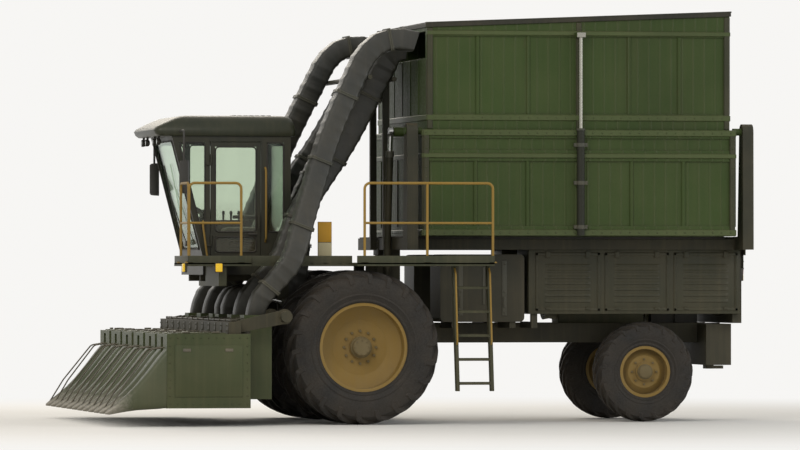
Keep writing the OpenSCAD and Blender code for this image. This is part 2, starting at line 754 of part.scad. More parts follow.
module lamps() {
    color("#d8b84a") {
        both_sides() for (y = [300, 620]) {
            disc_x(3230, 3290, y, cab_top - 70, 45);
            box(3245, 3275, y - 15, y + 15, cab_top - 40, cab_top);
        }
        // Marker lamps at the platform's edges
        box(deck_x1, deck_x1 + 60, step_y - 160, step_y - 40, deck_z - 80, deck_z + deck_t);
        box(2660, 2760, step_y, step_y + 50, deck_z - 80, deck_z + deck_t);
        // Marker board on the deck
        box(1180, 1360, 1440, 1465, deck_z + deck_t, deck_z + deck_t + 520);
        both_sides() box(rear_x + 10, rear_x + 60, leg_y + leg_w / 2 + 2, panel_y + panel_t, 1800, 1960);
    }
}

module drawbar() {
    color("#1f281a") difference() {
        union() {
            box(tow_x - 55, tank_rear_x + 120, -60, 60, tow_z - 20, tow_z + 20);
            box(tank_rear_x + 20, tank_rear_x + 120, -90, 90, tow_z - 20, tank_z);
        }
        translate([tow_x, 0, tow_z - 80]) cylinder(r = tow_r, h = 160);
    }
}

module radiator_door() {
    x = fan_door_x;
    y0 = core_y0 - 20;
    y1 = core_y1 + 30;
    z0 = rail_top + 130;
    z1 = core_top - 10;
    slats = 12;
    pitch = (z1 - z0 - 150) / slats;
    color("#26361f") difference() {
        union() {
            box(x - 20, x + 20, y0, y1, z0, z1);
            for (z = fan_hinge_z) {
                translate([x, fan_hinge_y, z]) cylinder(r = 20, h = 120);
                box(x - 20, x, fan_hinge_y, y0 + 1, z, z + 120);
            }
        }
        box(x - 5, x + 21, y0 + 40, y1 - 60, z0 + 60, z1 - 60);
        // Slots between the slats of its screen
        for (i = [0:slats - 1])
            box(x - 21, x - 13, y0 + 60, y1 - 80, z0 + 75 + i * pitch, z0 + 75 + (i + 0.55) * pitch);
        for (z = fan_hinge_z) translate([x, fan_hinge_y, z - 1]) cylinder(r = hinge_pin_r + fit, h = 122);
    }
}

// Picking units

// Puts a piece that is drawn about one row on every row, with its drum side towards the middle.
module each_row() {
    for (y = row_y) translate([0, y, 0]) mirror([0, y < 0 ? 1 : 0, 0]) children();
}

module unit_cabinets() {
    hw = unit_w / 2;
    th = throat_w / 2;
    color("#24331d") each_row() union() {
        box(box_x1, cabinet_x1, -hw, hw, unit_top - 40, unit_top);
        for (s = [-1, 1]) scale([1, s, 1]) {
            box(box_x1, cabinet_x1, hw - sheet, hw, unit_z, unit_top - 39);
            box(cabinet_x1 - sheet, cabinet_x1, th, hw, unit_z, unit_top - 39);
            box(box_x1, box_x1 + sheet, th, hw, unit_z, unit_top - 39);
        }
        // Pressure plate
        box(box_x1, cabinet_x1, th, th + 20, unit_z + 60, unit_top - 39);
    }
}

// Each drum is a core with upright spindle bars between its end discs.
module picking_drums() {
    z0 = unit_z + 70;
    z1 = unit_top - 40;
    bars = 12;
    color("#6a6a62") each_row() for (x = drum_x)
        translate([x, -unit_w / 2 + sheet + drum_r + 8, z0]) {
            cylinder(r = drum_r - 30, h = z1 - z0, $fn = 24);
            for (z = [0, z1 - z0 - 30]) translate([0, 0, z]) cylinder(r = drum_r, h = 30);
            for (i = [0:bars - 1]) rotate([0, 0, i * 360 / bars])
                translate([drum_r - 45, -9, 1]) cube([40, 18, z1 - z0 - 2]);
        }
}

module stalk_lifters() {
    mid = (unit_w + throat_w) / 4;
    half = mid - throat_w / 2 - 8;
    color("#24331d") each_row() for (y = [-1, 1]) union() {
        hull() {
            box(cabinet_x1, cabinet_x1 + 10, y * mid - half, y * mid + half, unit_z, 960);
            translate([3860, y * mid, 380]) scale([1, 1, 1.5]) sphere(r = 95, $fn = 20);
        }
        hull() {
            translate([3860, y * mid, 380]) scale([1, 1, 1.5]) sphere(r = 95, $fn = 20);
            translate([nose_tip_x - 25, y * mid, 170]) sphere(r = 25, $fn = 16);
        }
    }
}

module suction_boxes() {
    hw = unit_w / 2;
    w = 20;
    color("#24331d") each_row() difference() {
        box(unit_x0, box_x1, -hw, -hw + box_w, unit_z + 100, box_top);
        box(unit_x0 + w, box_x1 - w, -hw + w, -hw + box_w - w, 900, box_top + 1);
    }
}

module lift_beam() {
    reach = row_y[5] + unit_w / 2 - 70;
    bar_x0 = 2560;
    bar_x1 = 2710;
    bar_z1 = unit_top + 150;
    color("#2a3320") union() {
        disc_y(pivot_x, 0, pivot_z, pivot_r, 2 * reach);
        box(bar_x0, bar_x1, -reach, reach, unit_top, bar_z1);
        // Hanger plates from the tube to the beam
        for (y = row_y) {
            a = y + (y < 0 ? -150 : 150);
            disc_y(pivot_x, a, pivot_z, pivot_r + 25, 40);
            plate_xz([[pivot_x, pivot_z - pivot_r - 20], [bar_x0 + 60, unit_top], [bar_x0 + 60, bar_z1],
                [pivot_x, pivot_z + pivot_r + 20]], a - 20, a + 20);
        }
        // Levers of the lift cylinders
        both_sides() {
            disc_y(lift_eye[0], lift_cyl_y, lift_eye[1], 38, 30);
            disc_y(pivot_x, lift_cyl_y, pivot_z, pivot_r + 20, 30);
            plate_xz([[pivot_x - pivot_r - 10, pivot_z], [pivot_x + pivot_r + 10, pivot_z],
                [lift_eye[0] + 34, lift_eye[1]], [lift_eye[0] - 34, lift_eye[1]]],
                lift_cyl_y - 15, lift_cyl_y + 15);
        }
    }
}

// A hydraulic barrel or rod between two eyes, in the plane given by swing.
module lift_barrels() {
    u = (lift_eye - lift_base) / norm(lift_eye - lift_base);
    p = function(t) [lift_base[0] + u[0] * t, lift_cyl_y, lift_base[1] + u[1] * t];
    color("#2b2b28") both_sides() difference() {
        union() {
            disc_y(lift_base[0], lift_cyl_y, lift_base[1], 42, 50);
            bar(p(30), p(lift_barrel_l), 42);
        }
        bar(p(60), p(lift_barrel_l + 1), 25 + fit);
        disc_y(lift_base[0], lift_cyl_y, lift_base[1], 25 + fit, 60);
    }
}

module lift_rods() {
    l = norm(lift_eye - lift_base);
    u = (lift_eye - lift_base) / l;
    p = function(t, dy) [lift_base[0] + u[0] * t, lift_cyl_y + dy, lift_base[1] + u[1] * t];
    color("#b9b9b4") both_sides() union() {
        bar(p(360, 0), p(l - 60, 0), 25);
        // Fork around the lever's eye
        bar(p(l - 70, -37), p(l - 70, 37), 24);
        for (s = [-1, 1]) {
            disc_y(lift_eye[0], lift_cyl_y + s * 30, lift_eye[1], 30, 14);
            bar(p(l - 70, s * 30), p(l, s * 30), 7);
        }
    }
}

// Basket

// Rows of pockets that leave the ribs of a wall standing, in the wall's own plane.
module pockets(x0, x1, z0, z1, columns, rib) {
    w = (x1 - x0 - rib) / columns;
    for (i = [0:columns - 1])
        translate([x0 + rib + i * w, z0 + rib]) square([w - rib, z1 - z0 - 2 * rib]);
}

module basket_lower() {
    rib = 70;
    mid = basket_x0 + basket_l / 2;
    color("#35592c") difference() {
        union() {
            box(basket_x0, basket_x1, -basket_y, basket_y, basket_z, rim_z);
            // Pivot pins
            disc_x(basket_x1 - 1, front_post_x + post_d + 15, dump_y, dump_z, dump_pin_r);
            disc_x(rear_x + 5, basket_x0 + 1, dump_y, dump_z, dump_pin_r);
            // Arms that the dump cylinders push
            disc_x(basket_x1 - 1, dump_front_x - 38, dump_eye[0], dump_eye[1], 60);
            disc_x(dump_rear_x + 38, basket_x0 + 1, dump_eye[0], dump_eye[1], 60);
            // Barrels of the raising cylinders
            both_sides() translate([mid, basket_y + 45, basket_z + 5])
                cylinder(r = 50, h = rim_z - basket_z - 10);
        }
        box(basket_x0 + basket_wall, basket_x1 - basket_wall, basket_wall - basket_y, basket_y - basket_wall,
            basket_z + basket_wall, rim_z + 1);
        // Pockets between the ribs of the sides and ends
        both_sides() translate([0, -basket_y + 22, 0]) rotate([90, 0, 0]) linear_extrude(30) {
            pockets(basket_x0, basket_x1, basket_z + 60, rim_z - 330, 2, rib);
            pockets(basket_x0, basket_x1, rim_z - 330, rim_z - 40, 2, rib);
        }
        both_sides() translate([mid, basket_y + 45, basket_z + 30]) cylinder(r = 25 + fit, h = rim_z);
    }
}

module basket_upper() {
    rib = 70;
    g = basket_wall + slide_gap;
    mid = basket_x0 + basket_l / 2;
    x0 = basket_x0 + g;
    x1 = basket_x1 - g;
    y1 = basket_y - g;
    z0 = rim_z - slide_lap;
    color("#3b6230") difference() {
        union() {
            translate([0, y1, 0]) rotate([90, 0, 0]) linear_extrude(2 * y1)
                polygon([[x0, z0], [x1, z0], [x1, top_front_z], [x0, top_front_z + top_rise]]);
            // Rods of the raising cylinders and their brackets
            both_sides() {
                translate([mid, basket_y + 45, z0 - 60]) cylinder(r = 25, h = 4930 - z0 + 60);
                box(mid - 60, mid + 60, y1 - 1, basket_y + 90, 4890, 4950);
            }
        }
        translate([0, y1 - basket_wall, 0]) rotate([90, 0, 0]) linear_extrude(2 * (y1 - basket_wall))
            polygon([[x0 + basket_wall, z0 - 1], [x1 - basket_wall, z0 - 1],
                [x1 - basket_wall, top_front_z + 50], [x0 + basket_wall, top_front_z + top_rise + 50]]);
        // Pockets between the ribs of the sides
        both_sides() translate([0, -y1 + 22, 0]) rotate([90, 0, 0]) linear_extrude(30)
            pockets(x0, x1, rim_z + 130, top_front_z - 40, 2, rib);
        // Opening for the ducts' mouths
        box(x1 - basket_wall - 1, x1 + 1, -1530, 1530, 4620, 4960);
    }
}

// Half of the roof: side is 1 for the left, hinged half and -1 for the right, fixed half.
module roof_half(side) {
    over = 20;
    g = basket_wall + slide_gap;
    l = basket_l - 2 * g;
    y1 = basket_y - g + over;
    translate([basket_x1 - g, 0, top_front_z]) rotate([0, atan2(top_rise, l), 0])
        translate([-l - over, side > 0 ? roof_seam : -y1, side > 0 ? 0.5 : 0])
            cube([l + 2 * over, side > 0 ? y1 - roof_seam : y1 + roof_seam - seam, roof_t]);
}

module basket_roof() {
    color("#1a2415") roof_half(-1);
}

module basket_door() {
    color("#1a2415") roof_half(1);
}

module dump_cyl(part) {
    l = norm(dump_eye - dump_base);
    u = (dump_eye - dump_base) / l;
    for (x = [dump_front_x, dump_rear_x]) {
        p = function(t) [x, dump_base[0] + u[0] * t, dump_base[1] + u[1] * t];
        if (part == 0) difference() {
            union() {
                disc_x(x - 30, x + 30, dump_base[0], dump_base[1], 55);
                bar(p(40), p(dump_barrel_l), 45);
            }
            bar(p(90), p(dump_barrel_l + 1), 32 + fit);
            disc_x(x - 40, x + 40, dump_base[0], dump_base[1], 30 + fit);
        }
        if (part == 1) union() {
            bar(p(900), p(l - 20), 32);
            disc_x(x - 25, x + 25, dump_eye[0], dump_eye[1], 60);
        }
    }
}

module dump_barrels() { color("#2b2b28") dump_cyl(0); }
module dump_rods() { color("#b9b9b4") dump_cyl(1); }

main_frame();
axles();
engine();
radiator();
engine_panels();
tanks();
blower();
cradle();
walkway();
handrails();
ladder();
cab_frame();
cab_roof();
cab_glass();
cab_door();
cab_door_glass();
seat();
console();
air_ducts();
duct_mast();
mirrors();
lamps();
drawbar();
radiator_door();
knuckle_shape();  // knuckle_left
mirror([0, 1, 0]) knuckle_shape();  // knuckle_right
tie_rod();
drive_tyres();  // drive_tyres_left
mirror([0, 1, 0]) drive_tyres();  // drive_tyres_right
drive_rims();  // drive_rims_left
mirror([0, 1, 0]) drive_rims();  // drive_rims_right
steered_tyre();  // steered_tyre_left
mirror([0, 1, 0]) steered_tyre();  // steered_tyre_right
steered_rim();  // steered_rim_left
mirror([0, 1, 0]) steered_rim();  // steered_rim_right
lift_beam();
unit_cabinets();
picking_drums();
stalk_lifters();
suction_boxes();
lift_barrels();
lift_rods();
basket_lower();
basket_upper();
basket_roof();
basket_door();
dump_barrels();
dump_rods();
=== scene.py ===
import math

import bmesh
import bpy
from mathutils import Matrix, Vector


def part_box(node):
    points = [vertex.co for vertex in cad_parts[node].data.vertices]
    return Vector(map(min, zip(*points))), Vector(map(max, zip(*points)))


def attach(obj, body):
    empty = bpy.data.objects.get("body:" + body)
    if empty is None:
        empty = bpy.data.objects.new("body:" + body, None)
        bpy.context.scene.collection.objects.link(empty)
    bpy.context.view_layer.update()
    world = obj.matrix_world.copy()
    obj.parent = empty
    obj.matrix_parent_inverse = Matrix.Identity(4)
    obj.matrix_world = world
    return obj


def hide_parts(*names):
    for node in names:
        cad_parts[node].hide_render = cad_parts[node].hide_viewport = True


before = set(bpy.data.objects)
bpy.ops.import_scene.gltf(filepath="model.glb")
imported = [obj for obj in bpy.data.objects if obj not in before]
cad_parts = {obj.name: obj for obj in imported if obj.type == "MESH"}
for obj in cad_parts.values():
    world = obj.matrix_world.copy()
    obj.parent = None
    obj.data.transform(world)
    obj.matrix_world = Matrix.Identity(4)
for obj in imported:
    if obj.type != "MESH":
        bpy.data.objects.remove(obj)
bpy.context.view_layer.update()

# Frame rails, cradle, axles and drawbar
# Welded box sections of rolled steel under one coat of dark green paint, thick with field dust. The green is
# darkened nearly to black as painted shade.
# Every painted surface of the machine takes its finish from the same recipe, defined here.


def rgb(hex_colour):
    """A colour written as #rrggbb, as the four numbers that a socket takes."""
    parts = [int(hex_colour[i:i + 2], 16) / 255 for i in (1, 3, 5)]
    return [p / 12.92 if p <= 0.04045 else ((p + 0.055) / 1.055) ** 2.4 for p in parts] + [1.0]


def shaded(colour, factor, lift=0.0):
    """A lighter or darker mix of the same colour."""
    return [min(1.0, c * factor + lift) for c in colour[:3]] + [1.0]


class Nodes:
    """A node tree that is being put together."""

    def __init__(self, tree):
        self.tree = tree

    def feed(self, socket, value):
        if isinstance(value, bpy.types.NodeSocket):
            self.tree.links.new(value, socket)
        else:
            socket.default_value = value

    def node(self, kind, inputs=None, **settings):
        made = self.tree.nodes.new(kind)
        for key, value in settings.items():
            setattr(made, key, value)
        for key, value in (inputs or {}).items():
            self.feed(made.inputs[key], value)
        return made

    def math(self, operation, a, b=0.0):
        return self.node("ShaderNodeMath", {0: a, 1: b}, operation=operation).outputs[0]

    def plus(self, a, b):
        return self.math("ADD", a, b)

    def times(self, a, b):
        return self.math("MULTIPLY", a, b)


class Finish(Nodes):
    """One material: a Principled shader and the nodes that feed it."""

    def __init__(self, name):
        self.material = bpy.data.materials.new(name)
        self.material.use_nodes = True
        super().__init__(self.material.node_tree)
        self.tree.nodes.clear()
        self.shader = self.node("ShaderNodeBsdfPrincipled")
        self.surface = self.node("ShaderNodeOutputMaterial", {0: self.shader.outputs[0]})
        self.place = self.node("ShaderNodeTexCoord").outputs["Object"]

    def set(self, **sockets):
        for key, value in sockets.items():
            self.feed(self.shader.inputs[key.replace("_", " ")], value)

    def stretched(self, *scale):
        return self.node("ShaderNodeMapping", {"Vector": self.place, "Scale": scale}).outputs[0]

    def noise(self, scale, detail=3.0, place=None):
        inputs = {"Vector": place or self.place, "Scale": scale, "Detail": detail, "Roughness": 0.55}
        return self.node("ShaderNodeTexNoise", inputs).outputs["Fac"]

    def spread(self, value, low, high, to_low=0.0, to_high=1.0):
        inputs = {"Value": value, "From Min": low, "From Max": high, "To Min": to_low, "To Max": to_high}
        return self.node("ShaderNodeMapRange", inputs).outputs[0]

    def blend(self, share, first, second):
        return self.node("ShaderNodeMix", {0: share, 6: first, 7: second}, data_type="RGBA").outputs[2]

    def bump(self, height, strength, distance, normal=None):
        inputs = {"Height": height, "Strength": strength, "Distance": distance}
        if normal:
            inputs["Normal"] = normal
        self.set(Normal=self.node("ShaderNodeBump", inputs).outputs[0])

    def axis(self, name, vector=None):
        return self.node("ShaderNodeSeparateXYZ", {0: vector or self.place}).outputs[name]

    def open_air(self, distance):
        """1 on open faces, and less in hollows and corners."""
        found = self.node("ShaderNodeAmbientOcclusion", {"Distance": distance}, samples=4, only_local=True)
        return found.outputs["AO"]

    def rubbed_edges(self, edge, grain, wear):
        """Share of paint that is rubbed off along edges, and the softened normal that finds them."""
        soft = self.node("ShaderNodeBevel", {"Radius": edge}, samples=4).outputs[0]
        sharp = self.node("ShaderNodeNewGeometry").outputs["True Normal"]
        corner = self.node("ShaderNodeVectorMath", {0: soft, 1: sharp}, operation="DOT_PRODUCT")
        return self.times(self.spread(corner.outputs["Value"], 0.985, 0.86),
                          self.spread(grain, 0.50, 0.62, 0.0, wear)), soft


DUST = rgb("#85775c")
PRIMER = rgb("#4d473c")


def settled_dust(f, amount):
    """Share of dust: more low down, on top faces and in corners, washed into fine streaks by rain."""
    streaks = f.spread(f.noise(1.0, 5.0, f.stretched(17, 17, 0.6)), 0.47, 0.72)
    cloud = f.spread(f.noise(1.7, 5.0), 0.36, 0.70)
    upward = f.axis("Z", f.node("ShaderNodeTexCoord").outputs["Normal"])
    share = f.plus(f.times(cloud, 0.30), f.times(streaks, 0.22))
    share = f.plus(share, f.spread(f.axis("Z"), 0.2, 3.2, 0.34, 0.10))
    share = f.plus(share, f.spread(upward, 0.6, 1.0, 0.0, 0.45))
    share = f.plus(share, f.spread(f.open_air(0.09), 0.35, 0.85, 0.40, 0.0))
    return f.times(share, amount)


def paint(name, colour, gloss=0.38, dust=0.35, wear=0.5, edge=0.010):
    """Sprayed paint: faded in broad patches, dusty in its corners and on its top faces, thin on its edges."""
    f = Finish(name)
    colour = rgb(colour)
    faded = f.spread(f.noise(0.45, 3.0), 0.3, 0.75)
    grain = f.noise(38.0, 4.0)
    dusty = settled_dust(f, dust)
    rubbed, soft = f.rubbed_edges(edge, grain, wear)
    coat = f.blend(rubbed, f.blend(faded, shaded(colour, 0.82), shaded(colour, 1.18, 0.002)), PRIMER)
    f.set(Base_Color=f.blend(dusty, coat, DUST), Specular_IOR_Level=0.32,
          Roughness=f.spread(f.plus(dusty, f.times(grain, 0.25)), 0.0, 0.9, gloss, 0.85))
    f.bump(f.noise(160.0, 2.0), 0.10, 0.002, soft)
    return f.material


def wear_on(material, *nodes):
    """Gives carried-over CAD nodes their finish."""
    for name in nodes:
        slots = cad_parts[name].data.materials
        slots.clear()
        slots.append(material)


# The frame's near-black green is painted shade, darker than the real paint.
frame_paint = paint("frame_paint", "#1a1f14", gloss=0.5, dust=0.34, wear=0.7)
wear_on(frame_paint, "main_frame", "axles", "cradle", "drawbar", "knuckle_left", "knuckle_right", "tie_rod",
        "duct_mast", "lift_beam", "lift_barrels", "dump_barrels")

# Tyres
# Black field tyres: a rounded carcass with a ring of long bars on each side of the tread, set in a chevron.
# Rubber is scuffed grey-brown on the bars and keeps dust in the grooves and on the sidewall.


def rubber(name, colour, dust):
    f = Finish(name)
    grain = f.noise(55.0, 4.0)
    patches = f.spread(f.noise(3.2, 5.0), 0.25, 0.85)
    packed = f.times(f.spread(f.open_air(0.07), 0.30, 0.80, 1.0, 0.0), f.spread(grain, 0.25, 0.6, 0.6, 1.0))
    dusty = f.plus(f.times(patches, dust), f.times(packed, 0.75))
    f.set(Base_Color=f.blend(dusty, rgb(colour), rgb("#554939")),
          Roughness=f.spread(grain, 0.3, 0.7, 0.68, 0.92))
    f.bump(f.noise(120.0, 3.0), 0.35, 0.003)
    return f.material


def carcass_outline(w, r, seat, groove):
    """Half section of a carcass as (radius, across) points, from one bead over the tread to the other."""
    wall, base = r - seat, r - groove
    side = [(seat, -0.40), (seat + 0.02, -0.446), (seat + 0.035, -0.450), (seat + 0.045, -0.440)]
    side += [(seat + share * wall, across) for share, across in
             ((0.22, -0.470), (0.24, -0.482), (0.27, -0.482), (0.29, -0.474), (0.38, -0.492), (0.55, -0.5))]
    side += [(r - 0.10 * r, -0.478), (base - 0.018, -0.425), (base, -0.36), (base + 0.006, -0.15)]
    half = [(radius, across * w) for radius, across in side]
    return half + [(radius, -across) for radius, across in reversed(half)]


def skin(bm, rings, closed=False):
    """Faces between rings of points that all have the same number of them."""
    rows = [[bm.verts.new(p) for p in ring] for ring in rings]
    for here, there in zip(rows, rows[1:] + rows[:1] if closed else rows[1:]):
        for k in range(len(here)):
            j = (k + 1) % len(here)
            bm.faces.new((here[k], here[j], there[j], there[k]))
    return rows


def loft(bm, rings):
    """A closed body over rings of points."""
    rows = skin(bm, rings)
    bm.faces.new(rows[0][::-1])
    bm.faces.new(rows[-1])


def turned(bm, profile, centre, steps, axis="Y"):
    """A closed ring that a section of (radius, along) points sweeps round an axis."""
    turn = {"Y": lambda a, r, s: (r * math.sin(a), s, r * math.cos(a)),
            "X": lambda a, r, s: (s, r * math.sin(a), r * math.cos(a)),
            "Z": lambda a, r, s: (r * math.cos(a), r * math.sin(a), s)}[axis]
    rings = [[Vector(centre) + Vector(turn(2 * math.pi * i / steps, r, s)) for r, s in profile]
             for i in range(steps)]
    return sum(skin(bm, rings, closed=True), [])


def knob(bm, profile, centre, steps, axis="Y"):
    """A turned body that is closed at both ends by flat faces on its axis."""
    core = 0.001
    turned(bm, [(core, profile[0][1]), *profile, (core, profile[-1][1])], centre, steps, axis)


def spin(bm, angle, axis):
    bmesh.ops.rotate(bm, cent=(0, 0, 0), matrix=Matrix.Rotation(angle, 3, axis), verts=bm.verts)
    return bm


def shift(bm, by):
    bmesh.ops.translate(bm, vec=by, verts=bm.verts)
    return bm


def cone(sides, foot, top, depth):
    bm = bmesh.new()
    bmesh.ops.create_cone(bm, cap_ends=True, segments=sides, radius1=foot, radius2=top, depth=depth)
    return bm


class Growth(Nodes):
    """A Geometry Nodes tree with named inputs, which makes finished copies from a seed mesh."""

    def __init__(self, name, **sockets):
        super().__init__(bpy.data.node_groups.new(name, "GeometryNodeTree"))
        face = self.tree.interface
        face.new_socket("Geometry", in_out="OUTPUT", socket_type="NodeSocketGeometry")
        for title, kind in {"Geometry": "Geometry", **sockets, "Finish": "Material"}.items():
            face.new_socket(title, in_out="INPUT", socket_type="NodeSocket" + kind)
        self.given = self.node("NodeGroupInput").outputs
        self.index = self.node("GeometryNodeInputIndex").outputs[0]

    def scaled(self, vector, factor):
        return self.node("ShaderNodeVectorMath", {0: vector, "Scale": factor}, operation="SCALE").outputs[0]

    def points(self, count):
        return self.node("GeometryNodeMeshLine", {"Count": count, "Offset": (0, 0, 0)}).outputs[0]

    def copies(self, points, instance, **turn):
        inputs = {"Points": points, "Instance": instance, **turn}
        return self.close(self.node("GeometryNodeInstanceOnPoints", inputs))

    def close(self, made):
        solid = self.node("GeometryNodeRealizeInstances", {0: made.outputs[0]})
        inputs = {"Geometry": solid.outputs[0], "Material": self.given["Finish"]}
        finished = self.node("GeometryNodeSetMaterial", inputs)
        self.node("NodeGroupOutput", {0: finished.outputs[0]})
        return self.tree


def ring_tree():
    """Copies of a mesh turned round an axis through the origin."""
    tree = Growth("ring_of_copies", Copies="Int", Axis="Vector")
    angle = tree.times(tree.index, tree.math("DIVIDE", 2 * math.pi, tree.given["Copies"]))
    return tree.copies(tree.points(tree.given["Copies"]), tree.given["Geometry"],
                       Rotation=tree.scaled(tree.given["Axis"], angle))


def grid_tree():
    """Copies of a mesh in rows: Copies along Step, and Rows of them along Rise."""
    tree = Growth("rows_of_copies", Copies="Int", Step="Vector", Rows="Int", Rise="Vector")
    copies = tree.given["Copies"]
    row = tree.math("FLOOR", tree.math("DIVIDE", tree.index, copies))
    along = tree.scaled(tree.given["Step"], tree.math("MODULO", tree.index, copies))
    up = tree.scaled(tree.given["Rise"], row)
    place = tree.node("ShaderNodeVectorMath", {0: along, 1: up}, operation="ADD").outputs[0]
    spots = tree.points(tree.times(copies, tree.given["Rows"]))
    spread = tree.node("GeometryNodeSetPosition", {"Geometry": spots, "Offset": place})
    return tree.copies(spread.outputs[0], tree.given["Geometry"])


def pipe_tree():
    """A round pipe along the edges of a mesh, bent at each corner."""
    tree = Growth("bent_pipe", Radius="Float", Bend="Float", Sides="Int")
    line = tree.node("GeometryNodeMeshToCurve", {0: tree.given["Geometry"]})
    bent = tree.node("GeometryNodeFilletCurve", {"Curve": line.outputs[0], "Radius": tree.given["Bend"]})
    for socket in bent.inputs:
        settings = {"Count": 5, "Limit Radius": True, "Mode": "Poly"}
        if socket.name in settings:
            socket.default_value = settings[socket.name]
    if hasattr(bent, "mode"):
        bent.mode = "POLY"
    inputs = {"Resolution": tree.given["Sides"], "Radius": tree.given["Radius"]}
    section = tree.node("GeometryNodeCurvePrimitiveCircle", inputs)
    inputs = {"Curve": bent.outputs[0], "Profile Curve": section.outputs[0], "Fill Caps": True}
    return tree.close(tree.node("GeometryNodeCurveToMesh", inputs))


RING, ROWS, PIPE = ring_tree(), grid_tree(), pipe_tree()


def grow(bm, tree, finish, move=(0, 0, 0), **inputs):
    """Runs a tree on a seed mesh and returns the plain mesh that it makes."""
    seed = bpy.data.objects.new("seed", bpy.data.meshes.new("seed"))
    bmesh.ops.recalc_face_normals(bm, faces=bm.faces)
    bm.to_mesh(seed.data)
    bm.free()
    bpy.context.scene.collection.objects.link(seed)
    step = seed.modifiers.new("grow", "NODES")
    step.node_group = tree
    names = {s.name: s.identifier for s in tree.interface.items_tree if s.in_out == "INPUT"}
    for key, value in {**inputs, "Finish": finish}.items():
        step[names[key]] = value
    graph = bpy.context.evaluated_depsgraph_get()
    mesh = bpy.data.meshes.new_from_object(seed.evaluated_get(graph), depsgraph=graph)
    mesh.transform(Matrix.Translation(move))
    bpy.data.objects.remove(seed)
    return mesh


def in_rows(bm, finish, copies, step, rows=1, rise=(0, 0, 0), move=(0, 0, 0)):
    return grow(bm, ROWS, finish, move, Copies=copies, Step=step, Rows=rows, Rise=rise)


def piece(name, shapes, body, finish, replaces=(), smooth=0.6, move=None):
    """Joins meshes and bmeshes into one shown piece that rides on a body."""
    whole = bmesh.new()
    for shape in shapes if isinstance(shapes, list) else [shapes]:
        if isinstance(shape, bmesh.types.BMesh):
            made = bpy.data.meshes.new("part")
            bmesh.ops.recalc_face_normals(shape, faces=shape.faces)
            shape.to_mesh(made)
            shape.free()
            shape = made
        whole.from_mesh(shape)
        bpy.data.meshes.remove(shape)
    if move:
        shift(whole, move)
    mesh = bpy.data.meshes.new(name)
    whole.to_mesh(mesh)
    whole.free()
    mesh.materials.clear()
    mesh.materials.append(finish)
    for face in mesh.polygons:
        face.material_index = 0
    made = bpy.data.objects.new(name, mesh)
    bpy.context.scene.collection.objects.link(made)
    if smooth:
        mesh.shade_smooth()
        mesh.set_sharp_from_angle(angle=smooth)
    if body:
        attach(made, body)
    if replaces:
        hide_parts(*replaces)
    return made


def tread_bar(w, r, groove, sweep, width):
    """One bar of the tread, from the middle to the shoulder, with its free edge narrower than its foot."""
    foot, stations = r - groove - 0.02, []
    # Columns: share of the sweep, place across and radius of the bar's top, and those of its foot
    for t, top_y, top, foot_y, low in (
            (0.0, 0.015, r, 0.015, foot), (0.35, 0.18, r - 0.002, 0.18, foot),
            (0.65, 0.32, r - 0.007, 0.32, foot), (0.88, 0.425, r - 0.020, 0.41, foot - 0.01),
            (1.0, 0.489, r - 0.048, 0.440, foot - 0.05), (1.03, 0.508, 0.905 * r, 0.445, 0.86 * r),
            (1.05, 0.510, 0.83 * r, 0.470, 0.80 * r)):
        angle, half_top, half_foot = -sweep * t ** 1.15, 0.5 * width / r, 0.68 * width / r
        stations.append([(rad * math.sin(angle + a), w * across, rad * math.cos(angle + a))
                         for across, rad, a in ((foot_y, low, -half_foot), (top_y, top, -half_top),
                                                (top_y, top, half_top), (foot_y, low, half_foot))])
    bm = bmesh.new()
    loft(bm, stations)
    return bm


def tyre_shapes(centres, w, r, seat, groove, bars, sweep, bar_width, steps):
    shapes = []
    for centre in centres:
        carcass = bmesh.new()
        turned(carcass, carcass_outline(w, r, seat, groove), centre, steps)
        shapes.append(carcass)
        for side in (1, -1):
            bar = tread_bar(w, r, groove, sweep, bar_width)
            bmesh.ops.scale(bar, vec=(1, side, 1), verts=bar.verts)
            spin(bar, 0 if side > 0 else math.pi / bars, "Y")
            shapes.append(grow(bar, RING, rubber_black, centre, Copies=bars, Axis=(0, 1, 0)))
    return shapes


rubber_black = rubber("tyre_rubber", "#1b1a18", 0.30)
row_pitch = 0.965
low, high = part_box("drive_tyres_left")
drive_r, drive_w, drive_x = (high.z - low.z) / 2, high.y - low.y - row_pitch, (high.x + low.x) / 2
low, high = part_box("steered_tyre_left")
steer_r, steer_w = (high.z - low.z) / 2, high.y - low.y
steer_x, steer_y = (high.x + low.x) / 2, (high.y + low.y) / 2
both_sides = ((1, "left"), (-1, "right"))
for side, word in both_sides:
    centres = [(drive_x, side * n * row_pitch, drive_r) for n in (1, 2)]
    shapes = tyre_shapes(centres, drive_w, drive_r, seat=0.56, groove=0.055, bars=22, sweep=0.36,
                         bar_width=0.060, steps=72)
    piece(f"drive_tread_{word}", shapes, f"drive_wheels_{word}", rubber_black,
          [f"drive_tyres_{word}"])
for side, word in both_sides:
    centres = [(steer_x, side * steer_y, steer_r)]
    shapes = tyre_shapes(centres, steer_w, steer_r, seat=0.33, groove=0.040, bars=20, sweep=0.42,
                         bar_width=0.046, steps=64)
    piece(f"steered_tread_{word}", shapes, f"steered_wheel_{word}", rubber_black,
          [f"steered_tyre_{word}"])

# Wheel discs
# Pressed steel discs and rims in chalky yellow, bolted to the hubs with a ring of nuts round a cast cap.
# Dust lies in the well, and the paint is rubbed off round the nuts.

# The rims' yellow is darkened and dulled, partly by dust and partly as painted shade.
wheel_paint = paint("wheel_paint", "#836722", gloss=0.42, dust=0.55, wear=0.8)
wear_on(wheel_paint, "drive_rims_left", "drive_rims_right", "steered_rim_left", "steered_rim_right")
hub_steel = paint("hub_steel", "#5d5131", gloss=0.45, dust=0.5, wear=1.0)


def nut_ring(bolt_radius, size, count, place, outward):
    nut = spin(cone(6, size, size * 0.92, size * 1.3), math.pi / 2, "X")
    shift(nut, (0, outward * size * 0.6, bolt_radius))
    return grow(nut, RING, hub_steel, place, Copies=count, Axis=(0, 1, 0))


